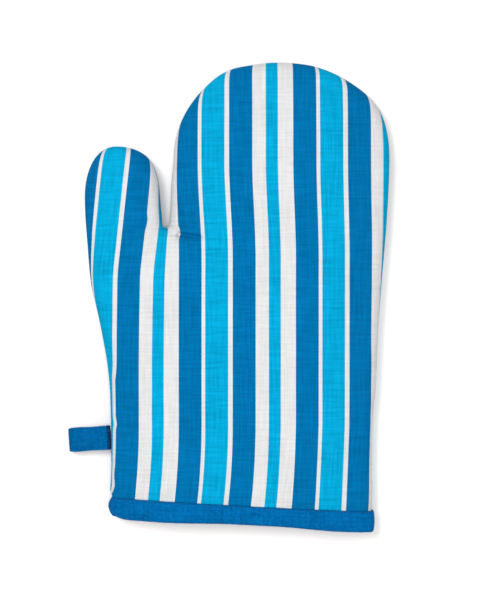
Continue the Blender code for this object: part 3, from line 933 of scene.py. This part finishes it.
def tube_rings(path, radius, sides, closed=False, up=(0, 0, 1), flat=1.0):
    """Rings of points round a path, flattened along the up direction if asked."""
    before = np.roll(path, 1, axis=0)
    after = np.roll(path, -1, axis=0)
    if not closed:
        before[0], after[-1] = path[0], path[-1]
    along = unit(after - before)
    across = unit(np.cross(along, np.broadcast_to(up, along.shape)))
    raised = np.cross(across, along)
    angles = np.arange(sides) * 2 * math.pi / sides
    radius = np.broadcast_to(radius, len(path))[:, None, None]
    ring = across[:, None] * np.cos(angles)[:, None] + raised[:, None] * np.sin(angles)[:, None] * flat
    return path[:, None] + ring * radius


def ring_faces(count, sides, closed, start=0):
    """Quads between rings of points, with fan caps on an open tube."""
    faces = []
    for i in range(count if closed else count - 1):
        a, b = start + i * sides, start + (i + 1) % count * sides
        for j in range(sides):
            k = (j + 1) % sides
            faces.append((a + j, a + k, b + k, b + j))
    if not closed:
        faces.append(tuple(start + j for j in reversed(range(sides))))
        faces.append(tuple(start + (count - 1) * sides + j for j in range(sides)))
    return faces


def add_tubes(name, paths, radius, material, up=(0, 0, 1), closed=False):
    """Several threads as one object, each with rounded ends unless it is closed."""
    points = []
    faces = []
    start = 0
    for path in paths:
        size = np.full(len(path), radius)
        if not closed:
            size[[0, -1]] *= THREAD_ENDS[0]
            size[[1, -2]] *= THREAD_ENDS[1]
        rings = tube_rings(path, size, THREAD_SIDES, closed, up)
        points.append(rings.reshape(-1, 3))
        faces += ring_faces(len(path), THREAD_SIDES, closed, start)
        start += len(path) * THREAD_SIDES
    return new_object(name, np.vstack(points), faces, material)


def add_tape(name, lines, closed, marks, across, material):
    """A tape as one mesh, from the lines that run along it and each line's place across the flat tape."""
    points = np.stack(lines, axis=1)
    points[:, :, 2] = np.maximum(points[:, :, 2], 0)
    faces = ring_faces(len(points), len(lines), closed)
    thing = new_object(name, points.reshape(-1, 3), faces, material)
    add_cloth_map(thing.data, np.array([(mark, far) for mark in marks for far in across]))
    return thing


def add_seam_threads(net, moves, materials):
    """The thread that shows in the groove between the panels: a run for the hand and one for the thumb."""
    depth = GROOVE_DEPTH + SEAM_THREAD_RADIUS * SEAM_THREAD_SUNK
    route = net.seam + net.inward * (depth + (net.drawn_in - net.pushed_out)[: net.count, None])
    route = np.column_stack([route, np.full(net.count, SEAM_HEIGHT)])
    route += (moves[True][: net.count] + moves[False][: net.count]) / 2
    lowest = len(net.cuff_rows) - 1
    crotch = net.fold_ends[0]
    runs = (("hand", route[lowest : crotch + 1]), ("thumb", route[crotch : net.count - lowest]))
    replaced = {"hand": ("right", "fingers", "crotch"), "thumb": ("thumb", "left")}
    for part, run in runs:
        length = lengths_along(run)
        marks = np.arange(0, length[-1], SEAM_STITCH / SEAM_STITCH_POINTS)
        path = resampled(run, marks)
        outward = np.zeros_like(path)
        outward[1:-1, :2] = unit(np.cross((path[2:] - path[:-2]), (0, 0, 1.0)))[:, :2]
        dip = np.cos(marks * 2 * math.pi / SEAM_STITCH)[:, None]
        path = path + outward * dip * SEAM_THREAD_RADIUS * SEAM_THREAD_SWAY
        thing = add_tubes(f"seam_stitches_{part}", [path], SEAM_THREAD_RADIUS, materials["blue_thread"])
        bend_hand(thing, part)
        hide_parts(*(f"seam_thread_{stretch}" for stretch in replaced[part]))


# ---- Cuff binding ----


def mouth_line(net, depth, row):
    """Points round the mouth at one row and depth: the front from the left, then the back from the right."""
    sides = []
    last = net.count - 1 - row
    for front in (True, False):
        points = net.surface(depth, front, lift=0.0, pressed=False)
        left = [points[k * net.count + last] for k in range(net.rings)]
        right = [points[k * net.count + row] for k in reversed(range(net.rings))]
        sides.append(np.vstack([left, points[net.rows[row]], right]))
    return np.vstack([sides[0], sides[1][::-1][1:-1]])


class Mouth:
    """The cuff's rim as stations along it. Any place is a depth and a height above the raw edge there."""

    def __init__(self, net):
        top_row = net.cuff_rows.index(MOUTH_TOP)
        lines = [mouth_line(net, depth, row) for depth in (0.0, MOUTH_DEEP) for row in (0, top_row)]
        length = lengths_along(closed_line(lines[0]))
        self.length = length[-1]
        self.count = int(self.length / MOUTH_STEP)
        self.marks = np.arange(self.count) * self.length / self.count
        self.corners = []
        for line in map(closed_line, lines):
            fine = np.column_stack([np.interp(self.marks, length, line[:, k]) for k in range(3)])
            for _ in range(MOUTH_PASSES):
                fine = (np.roll(fine, 1, axis=0) + 2 * fine + np.roll(fine, -1, axis=0)) / 4
            self.corners.append(fine)
        middle = self.corners[0]
        across = (middle[:, :2] - middle[:, :2].mean(0)) @ -CUFF_ALONG
        self.from_left = across - across.min()
        self.from_right = across.max() - across

    def place(self, depth, height):
        """Where a depth and a height are at every station."""
        depth = np.broadcast_to(depth, self.count)[:, None] / MOUTH_DEEP
        height = np.broadcast_to(height, self.count)[:, None] / MOUTH_TOP
        low = self.corners[0] + (self.corners[2] - self.corners[0]) * depth
        high = self.corners[1] + (self.corners[3] - self.corners[1]) * depth
        return low + (high - low) * height


def ripple(marks, length, waves, seed):
    """A smooth closed wobble of about -1 to 1, made of some whole numbers of waves."""
    random = np.random.default_rng(seed)
    total = np.zeros(len(marks))
    for count in waves:
        height = random.uniform(*WAVE_HEIGHTS)
        phase = random.uniform(*WAVE_PHASES)
        total += height * np.sin(marks / length * count * 2 * math.pi + phase)
    return total / len(waves)


def binding_centre(squareness):
    """The middle of the tape's thickness, as (depth, height): down the outside, under and up the inside.

    Below 1 the squareness makes the turn under the raw edge sharper.
    """

    def face(depth, bow, heights):
        bowed = np.sin(math.pi * (BINDING_TOP - heights) / BOW_HEIGHT)
        return np.column_stack([depth + bow * bowed, heights])

    outer = face(OUTER_DEPTH, OUTER_BOW, np.linspace(BINDING_TOP, FACES_END, OUTER_POINTS))
    angles = np.linspace(math.pi, 2 * math.pi, TURN_POINTS)[1:-1]
    turns = np.column_stack([np.cos(angles), np.sin(angles)])
    turns = np.sign(turns) * np.abs(turns) ** squareness
    inner = face(INNER_DEPTH, INNER_BOW, np.linspace(FACES_END, BINDING_TOP, INNER_POINTS))
    return np.vstack([outer, np.array(TURN_CENTRE) + turns * TURN_REACH, inner])


def binding_profile(squareness):
    """The tape's whole section: its outer face, a round edge, its inner face and the other round edge."""
    centre = binding_centre(squareness)
    centre = resampled(centre, np.linspace(0, lengths_along(centre)[-1], PROFILE_POINTS))
    along = unit(np.gradient(centre, axis=0))
    aside = np.column_stack([along[:, 1], -along[:, 0]])
    half = np.full((PROFILE_POINTS, 1), BINDING_THICKNESS / 2)
    half[0] *= EDGE_THINNING
    last = centre[-1] + along[-1] * half[-1] * EDGE_ROUNDING
    first = centre[0] - along[0] * half[0] * EDGE_ROUNDING
    return np.vstack([centre + aside * half, last, (centre - aside * half)[::-1], first])


def add_binding(mouth, materials):
    profile = binding_profile(ROUND_TURN)
    squared = binding_profile(SQUARE_TURN)
    wobble = ripple(mouth.marks, mouth.length, *WOBBLE)
    crinkle = ripple(mouth.marks, mouth.length, *CRINKLE)
    left = smooth(1 - mouth.from_left / LEFT_END)
    right = smooth(1 - mouth.from_right / RIGHT_END)
    crinkled = CRINKLE_MIDDLE
    for end, (height, reach) in ((mouth.from_left, CRINKLE_LEFT), (mouth.from_right, CRINKLE_RIGHT)):
        crinkled = crinkled + height * smooth(1 - end / reach)
    lines = []
    for round_place, square_place in zip(profile, squared):
        depth = round_place[0] + (square_place[0] - round_place[0]) * right
        height = round_place[1] + (square_place[1] - round_place[1]) * right
        middle = np.sin(math.pi * np.clip((BINDING_TOP - height) / BULGE_REACH, 0, 1))
        outside = 1 - ramp(depth, *OUTSIDE_DEPTHS)
        bulge = WOBBLE_OUT * wobble * middle
        bulge = bulge + crinkled * crinkle * ramp(height, *CRINKLE_HEIGHTS) * outside
        at_right = RIGHT_BULGE + RIGHT_LOW_BULGE * smooth(1 - height / RIGHT_LOW_HEIGHT)
        bulge = bulge + (LEFT_BULGE * left * middle + at_right * right) * outside
        lifted = BINDING_TOP - (BINDING_TOP - height) * (1 - LEFT_SHRINK * left) + WOBBLE_UP * wobble
        lines.append(hemmed(mouth.place(depth - bulge, lifted)))
    down = lengths_along(closed_line(profile))[:-1]
    thing = add_tape("binding_tape", lines, True, mouth.marks, down, materials["blue_binding"])
    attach(thing, "palm")
    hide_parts("cuff_binding")


def add_binding_threads(mouth, materials):
    """Stitches along the binding's edges: dashes that dive in and out beside it."""
    for side, depth, below in BINDING_LINES:
        line = hemmed(mouth.place(depth, BINDING_TOP - below))
        looped = closed_line(line)
        length = lengths_along(looped)[-1]
        count = int(length / BINDING_STITCH)
        paths = []
        for k in range(count):
            marks = (k + np.linspace(*BINDING_DASH, BINDING_DASH_POINTS)) * length / count
            paths.append(resampled(looped, marks))
        material = materials["blue_thread"]
        thing = add_tubes(f"binding_stitches_{side}", paths, BINDING_THREAD_RADIUS, material)
        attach(thing, "palm")
        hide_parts(f"binding_thread_{side}")


# ---- Hanging loop ----

LOOP_OUT = direction(LOOP_HEADING)
LOOP_ACROSS = np.array((-LOOP_OUT[1], LOOP_OUT[0]))


def loop_place(outwards, across, up):
    """A place beside the loop's root, from distances outwards, across the tape and up."""
    outwards, across, up = (np.asarray(x, float) for x in (outwards, across, up))
    flat = LOOP_ROOT + outwards[..., None] * LOOP_OUT + across[..., None] * LOOP_ACROSS
    return np.concatenate([flat, SEAM_HEIGHT + np.broadcast_to(up, outwards.shape)[..., None]], axis=-1)


def loop_path():
    """The tape's middle in side view: out along the bottom, round the tip and back along the top."""
    radius = LOOP_TIP_RADIUS - TAPE_THICKNESS / 2
    centre = np.array((LOOP_LENGTH - LOOP_TIP_RADIUS, LOOP_TIP_RADIUS - SEAM_HEIGHT))
    slope = math.atan2(-centre[1], centre[0])
    angles = np.linspace(-math.pi / 2, math.pi / 2, LOOP_TIP_POINTS) - slope
    tip = centre + radius * np.column_stack([np.cos(angles), np.sin(angles)])
    path = np.vstack([LOOP_LOWER, tip, LOOP_UPPER])
    path = resampled(path, np.linspace(0, lengths_along(path)[-1], LOOP_STATIONS))
    for _ in range(LOOP_PASSES):
        path[1:-1] = (path[:-2] + 2 * path[1:-1] + path[2:]) / 4
    reach = LOOP_LENGTH / path[:, 0].max()
    path[:, 0] *= np.where(path[:, 0] > 0, reach, 1)
    return path


def rounded(count, power_across, power_up):
    """Points round a circle squared off by powers below 1, as their two coordinates from -1 to 1."""
    turns = np.linspace(0, 2 * math.pi, count, endpoint=False)
    c, s = np.cos(turns), np.sin(turns)
    return np.sign(c) * np.abs(c) ** power_across, np.sign(s) * np.abs(s) ** power_up


def add_loop(materials):
    path = loop_path()
    along = unit(np.gradient(path, axis=0))
    aside = np.column_stack([-along[:, 1], along[:, 0]])
    marks = lengths_along(path)
    share = marks / marks[-1]
    waver, turns = LOOP_WAVER
    between_ends = np.sin(math.pi * share)
    half = LOOP_WIDTH / 2 * (1 - LOOP_NARROWING * between_ends) + waver * np.sin(share * turns)
    across_tape, up_tape = rounded(TAPE_SIDES, *TAPE_SQUARENESS)
    up_tape = up_tape * TAPE_THICKNESS / 2
    lines = []
    for across, up in zip(across_tape, up_tape):
        edge = path + aside * up
        drop = LOOP_EDGE_DROP * across**4
        lines.append(loop_place(edge[:, 0], across * half + LOOP_LEAN * between_ends, edge[:, 1] - drop))
    flat_across = across_tape * LOOP_WIDTH / 2 + up_tape
    thing = add_tape("loop_tape", lines, False, marks, flat_across, materials["blue_tape"])
    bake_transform(thing)
    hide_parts("hanging_loop")


def add_tack(materials):
    """Close rows of very dark navy stitches wound over the tape where it leaves the seam, making a dark strip
    across the loop's root.
    """
    paths = []
    rows = int(LOOP_WIDTH / TACK_PITCH)
    out, up = rounded(TACK_POINTS, *TACK_SQUARENESS)
    out = sum(TACK_SPAN) / 2 + (TACK_SPAN[1] - TACK_SPAN[0]) / 2 * out
    skew = TACK_SKEW * np.sin(np.linspace(0, 2 * math.pi, TACK_POINTS, endpoint=False))
    for row in range(rows):
        across = (row + 0.5) * TACK_PITCH - LOOP_WIDTH / 2
        slanted = across + skew * (1 if row % 2 else -1)
        paths.append(loop_place(out, slanted, TACK_HALF_HEIGHT * up))
    upwards = (*LOOP_ACROSS, 0)
    thing = add_tubes("loop_root_stitches", paths, TACK_RADIUS, materials["navy_thread"], up=upwards, closed=True)
    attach(thing, "palm")
    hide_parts("loop_tack")


def add_tail(materials):
    """The ends of the tape, inside the seam."""
    still = np.zeros(TAIL_STATIONS)
    path = loop_place(np.linspace(*TAIL_SPAN, TAIL_STATIONS), still, still)
    ring = tube_rings(path, LOOP_WIDTH / 2, TAIL_SIDES, flat=TAIL_THICKNESS / LOOP_WIDTH)
    faces = ring_faces(TAIL_STATIONS, TAIL_SIDES, False)
    thing = new_object("loop_tape_ends", ring.reshape(-1, 3), faces, materials["blue_tape"])
    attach(thing, "palm")
    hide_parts("loop_tail")


# ---- Materials ----

CLOTH_COLOURS = {
    "dark": (0.0003, 0.140, 0.352),
    "cyan": (0.0013, 0.326, 0.573),
    "white": (0.645, 0.645, 0.648),
}
BINDING_BLUE = (0.0004, 0.128, 0.366)
TAPE_BLUE = (0.0005, 0.112, 0.316)
THREAD_BLUE = (0.0005, 0.067, 0.215)
# Very dark navy, for the stitches that make the dark strip across the loop's root.
NAVY = (0.005, 0.006, 0.05)
LINING_WHITE = (0.66, 0.655, 0.63)
WADDING_WHITE = (0.70, 0.685, 0.64)

# Weaves: the pitch of the threads in centimetres, how far their tint strays, and the height of their relief
# in metres.
SHELL_WEAVE = (0.15, 0.125, 0.00006)
BINDING_WEAVE = (0.13, 0.14, 0.00012)
TAPE_WEAVE = (0.13, 0.14, 0.0001)
LINING_WEAVE = (0.12, 0.05, 0.00006)

# Each noise is a scale, a detail and a weight.
WANDER = (2.0, 2.0, 0.6)
WARP_STRETCH = (7.5, 0.5, 1.0)
WEFT_STRETCH = (0.6, 7.0, 1.0)
BROAD = (0.35, 2.0, 0.5)
CHECKER_TINT = 0.6
SLUB_RELIEF = 0.7

# On white the tint strays less, by this share. Mottle is blotches on the plain tapes, of this scale and
# weight.
CALM_SHARE = 0.8
MOTTLE_SCALE = 6.0
MOTTLE = 1.5

# The stripes' edges stray by this noise: its scale and detail, and how far in centimetres.
FRAY = (22.0, 1.0, 0.004)

# Wadding and threads: the scale and detail of their noise, how far it shifts the tint, and its relief in
# metres.
FLUFF = (900.0, 6.0, 0.03, 0.0004)
FIBRE = (2500.0, 2.0, 0.12, 0.00004)

CLOTH_ROUGHNESS = 0.9
WADDING_ROUGHNESS = 1.0
THREAD_ROUGHNESS = 0.6
NO_SHEEN = 0.0
LINING_SHEEN = 0.1
WADDING_SHEEN = 0.2
THREAD_SHEEN = 0.1
SHEEN_ROUGHNESS = 0.5
SPECULAR_LEVEL = 0.02


class Shading:
    """A material's node tree, with short calls for the nodes that the cloths share."""

    def __init__(self, name, roughness, sheen, colour):
        self.material = bpy.data.materials.new(name)
        self.material.use_nodes = True
        self.material.diffuse_color = (*colour, 1.0)
        self.tree = self.material.node_tree
        self.shader = self.tree.nodes["Principled BSDF"]
        self.shader.inputs["Base Color"].default_value = (*colour, 1.0)
        self.shader.inputs["Roughness"].default_value = roughness
        self.shader.inputs["Metallic"].default_value = 0.0
        self.shader.inputs["Specular IOR Level"].default_value = SPECULAR_LEVEL
        self.shader.inputs["Sheen Weight"].default_value = sheen
        self.shader.inputs["Sheen Roughness"].default_value = SHEEN_ROUGHNESS

    def link(self, source, target):
        self.tree.links.new(source, target)

    def node(self, kind, **settings):
        node = self.tree.nodes.new(kind)
        for name, value in settings.items():
            setattr(node, name, value)
        return node

    def math(self, operation, *values):
        node = self.node("ShaderNodeMath", operation=operation)
        for socket, value in zip(node.inputs, values):
            if isinstance(value, (int, float)):
                socket.default_value = value
            else:
                self.link(value, socket)
        return node.outputs[0]

    def noise(self, vector, scale, detail=2.0, stretch=(1.0, 1.0, 1.0)):
        """Noise of about -1 to 1, drawn out along an axis where its stretch is small."""
        mapping = self.node("ShaderNodeMapping")
        mapping.inputs["Scale"].default_value = stretch
        self.link(vector, mapping.inputs["Vector"])
        noise = self.node("ShaderNodeTexNoise")
        noise.inputs["Scale"].default_value = scale
        noise.inputs["Detail"].default_value = detail
        self.link(mapping.outputs[0], noise.inputs["Vector"])
        return self.math("MULTIPLY_ADD", noise.outputs[0], 4.0, -2.0)

    def cloth_map(self):
        uv = self.node("ShaderNodeUVMap", uv_map="cloth")
        split = self.node("ShaderNodeSeparateXYZ")
        self.link(uv.outputs[0], split.inputs[0])
        return uv.outputs[0], split.outputs[0], split.outputs[1]

    def bump(self, height, distance):
        bump = self.node("ShaderNodeBump")
        bump.inputs["Distance"].default_value = distance
        bump.inputs["Strength"].default_value = 1.0
        self.link(height, bump.inputs["Height"])
        self.link(bump.outputs[0], self.shader.inputs["Normal"])

    def scaled_colour(self, colour, factor):
        """The colour, lighter or darker by a factor that varies about 1."""
        scale = self.node("ShaderNodeVectorMath", operation="SCALE")
        if isinstance(colour, tuple):
            scale.inputs[0].default_value = colour
        else:
            self.link(colour, scale.inputs[0])
        self.link(factor, scale.inputs["Scale"])
        self.link(scale.outputs[0], self.shader.inputs["Base Color"])

    def speckle(self, colour, scale, detail, tint, relief):
        """Fine fibres that tint the colour and stand up in relief."""
        vector = self.node("ShaderNodeTexCoord").outputs["Object"]
        fibres = self.noise(vector, scale, detail)
        self.scaled_colour(colour, self.math("MULTIPLY_ADD", fibres, tint, 1.0))
        self.bump(fibres, relief)


def add_weave(shading, colour, pitch, contrast, depth, twill=False, calm=None, mottle=0.0):
    """Warp and weft: a fine checker of threads, with slubs and a few heavier threads that tint the colour.

    Where the calm socket is high, as on white, the threads differ less in tint.
    """
    vector, across, along = shading.cloth_map()
    turns = 2 * math.pi / pitch
    if twill:
        rising = [shading.math("MULTIPLY", place, turns) for place in (across, along)]
        checker = shading.math("SINE", shading.math("ADD", *rising))
    else:
        *noise, weight = WANDER
        wander = shading.math("MULTIPLY", shading.noise(vector, *noise), weight)
        swayed = [shading.math("MULTIPLY_ADD", place, turns, wander) for place in (across, along)]
        checker = shading.math("MULTIPLY", *(shading.math("SINE", place) for place in swayed))
    threads = (shading.noise(vector, 1.0, 1.0, stretch) for stretch in (WARP_STRETCH, WEFT_STRETCH))
    slubs = shading.math("ADD", *threads)
    uneven = shading.math("MULTIPLY_ADD", checker, CHECKER_TINT, slubs)
    *noise, weight = BROAD
    uneven = shading.math("MULTIPLY_ADD", shading.noise(vector, *noise), weight, uneven)
    if mottle:
        uneven = shading.math("MULTIPLY_ADD", shading.noise(vector, MOTTLE_SCALE), mottle, uneven)
    amount = contrast
    if calm is not None:
        amount = shading.math("MULTIPLY_ADD", calm, -CALM_SHARE * contrast, contrast)
    shading.scaled_colour(colour, shading.math("MULTIPLY_ADD", uneven, amount, 1.0))
    shading.bump(shading.math("MULTIPLY_ADD", slubs, SLUB_RELIEF, checker), depth)


def stripe_colours(shading, start):
    """Colour by place across the cloth, as a ramp that repeats, and how white it is."""
    vector, across, _ = shading.cloth_map()
    *noise, far = FRAY
    place = shading.math("MULTIPLY_ADD", shading.noise(vector, *noise), far, across)
    place = shading.math("MULTIPLY_ADD", place, 10 / STRIPE_PERIOD, -start / STRIPE_PERIOD)
    bands = shading.node("ShaderNodeValToRGB")
    bands.color_ramp.interpolation = "CONSTANT"
    elements = bands.color_ramp.elements
    edge = 0.0
    for index, (name, width) in enumerate(STRIPES):
        if index > 1:
            elements.new(edge)
        elements[index].position = edge
        elements[index].color = (*CLOTH_COLOURS[name], 1.0)
        edge += width / STRIPE_PERIOD
    shading.link(shading.math("FLOORED_MODULO", place, 1.0), bands.inputs[0])
    channels = shading.node("ShaderNodeSeparateColor")
    shading.link(bands.outputs[0], channels.inputs[0])
    return bands.outputs[0], channels.outputs["Red"]


def make_materials():
    made = {}
    for side, start in (("front", STRIPE_START), ("back", STRIPE_START + BACK_STRIPE_SHIFT)):
        shading = Shading(f"striped_cotton_{side}", CLOTH_ROUGHNESS, NO_SHEEN, CLOTH_COLOURS["dark"])
        colour, whiteness = stripe_colours(shading, start)
        add_weave(shading, colour, *SHELL_WEAVE, calm=whiteness)
        made[f"{side}_shell"] = shading.material
    plain_cloths = (
        ("blue_binding", BINDING_BLUE, NO_SHEEN, BINDING_WEAVE, False, MOTTLE),
        ("blue_tape", TAPE_BLUE, NO_SHEEN, TAPE_WEAVE, True, MOTTLE),
        ("white_lining", LINING_WHITE, LINING_SHEEN, LINING_WEAVE, False, 0.0),
    )
    for name, colour, sheen, weave, twill, mottle in plain_cloths:
        shading = Shading(name, CLOTH_ROUGHNESS, sheen, colour)
        add_weave(shading, colour, *weave, twill=twill, mottle=mottle)
        made[name] = shading.material
    fibres = (
        ("cotton_wadding", WADDING_WHITE, WADDING_ROUGHNESS, WADDING_SHEEN, FLUFF),
        ("blue_thread", THREAD_BLUE, THREAD_ROUGHNESS, THREAD_SHEEN, FIBRE),
        ("navy_thread", NAVY, THREAD_ROUGHNESS, THREAD_SHEEN, FIBRE),
    )
    for name, colour, roughness, sheen, speckles in fibres:
        shading = Shading(name, roughness, sheen, colour)
        shading.speckle(colour, *speckles)
        made[name] = shading.material
    return made


# ---- Stage, in metres and watts ----

FLOOR_REACH = 3.0
FLOOR_DROP = 0.0002
FLOOR_COLOUR = (0.98, 0.945, 0.91, 1.0)
WORLD_STRENGTH = 0.41

# Each light's name, place, width and power. All face the origin.
LIGHTS = (
    ("top", (0.04, -0.04, 1.4), 0.35, 6.5),
    ("key", (-0.46, 0.36, 1.4), 0.5, 10.6),
    ("fill", (0.3, -0.3, 0.75), 0.8, 1.2),
)

# The camera looks straight down on this point, and the picture is this tall at its height.
CAMERA_TARGET = (0.0064, -0.0018, 0.012)
PICTURE_HEIGHT = 0.3576
LENS = 100.0
SENSOR = 36.0


def add_area_light(name, place, size, power):
    light = bpy.data.lights.new(name, "AREA")
    light.shape = "DISK"
    light.size = size
    light.energy = power
    thing = bpy.data.objects.new(name, light)
    thing.location = place
    thing.rotation_euler = (-Vector(place)).to_track_quat("-Z", "Y").to_euler()
    bpy.context.scene.collection.objects.link(thing)


def set_stage():
    mesh = bpy.data.meshes.new("floor")
    ways = ((-1, -1), (1, -1), (1, 1), (-1, 1))
    corners = [(x * FLOOR_REACH, y * FLOOR_REACH, -FLOOR_DROP) for x, y in ways]
    mesh.from_pydata(corners, [], [(0, 1, 2, 3)])
    floor = bpy.data.objects.new("floor", mesh)
    material = bpy.data.materials.new("floor")
    material.use_nodes = True
    shader = material.node_tree.nodes["Principled BSDF"]
    shader.inputs["Base Color"].default_value = FLOOR_COLOUR
    shader.inputs["Roughness"].default_value = 1.0
    shader.inputs["Specular IOR Level"].default_value = 0.0
    mesh.materials.append(material)
    bpy.context.scene.collection.objects.link(floor)

    for light in LIGHTS:
        add_area_light(*light)
    world = bpy.data.worlds.new("studio")
    world.use_nodes = True
    background = world.node_tree.nodes["Background"]
    background.inputs["Color"].default_value = (1.0, 1.0, 1.0, 1.0)
    background.inputs["Strength"].default_value = WORLD_STRENGTH
    bpy.context.scene.world = world
    bpy.context.scene.view_settings.view_transform = "Standard"


def add_camera():
    camera = bpy.data.cameras.new("camera")
    camera.lens = LENS
    camera.sensor_width = SENSOR
    camera.clip_end = 20.0
    thing = bpy.data.objects.new("camera", camera)
    thing.location = Vector(CAMERA_TARGET) + Vector((0, 0, PICTURE_HEIGHT * LENS / SENSOR))
    bpy.context.scene.collection.objects.link(thing)
    bpy.context.scene.camera = thing


# ---- Everything ----


def build():
    materials = make_materials()
    skin = Net(*SKIN_NET)
    pad = Net(*PAD_NET)
    moves = skin_moves(skin)
    add_panels(skin, pad, moves, materials)
    add_seam_threads(skin, moves, materials)
    mouth = Mouth(skin)
    add_binding(mouth, materials)
    add_binding_threads(mouth, materials)
    add_loop(materials)
    add_tack(materials)
    add_tail(materials)
    set_stage()
    add_camera()


build()
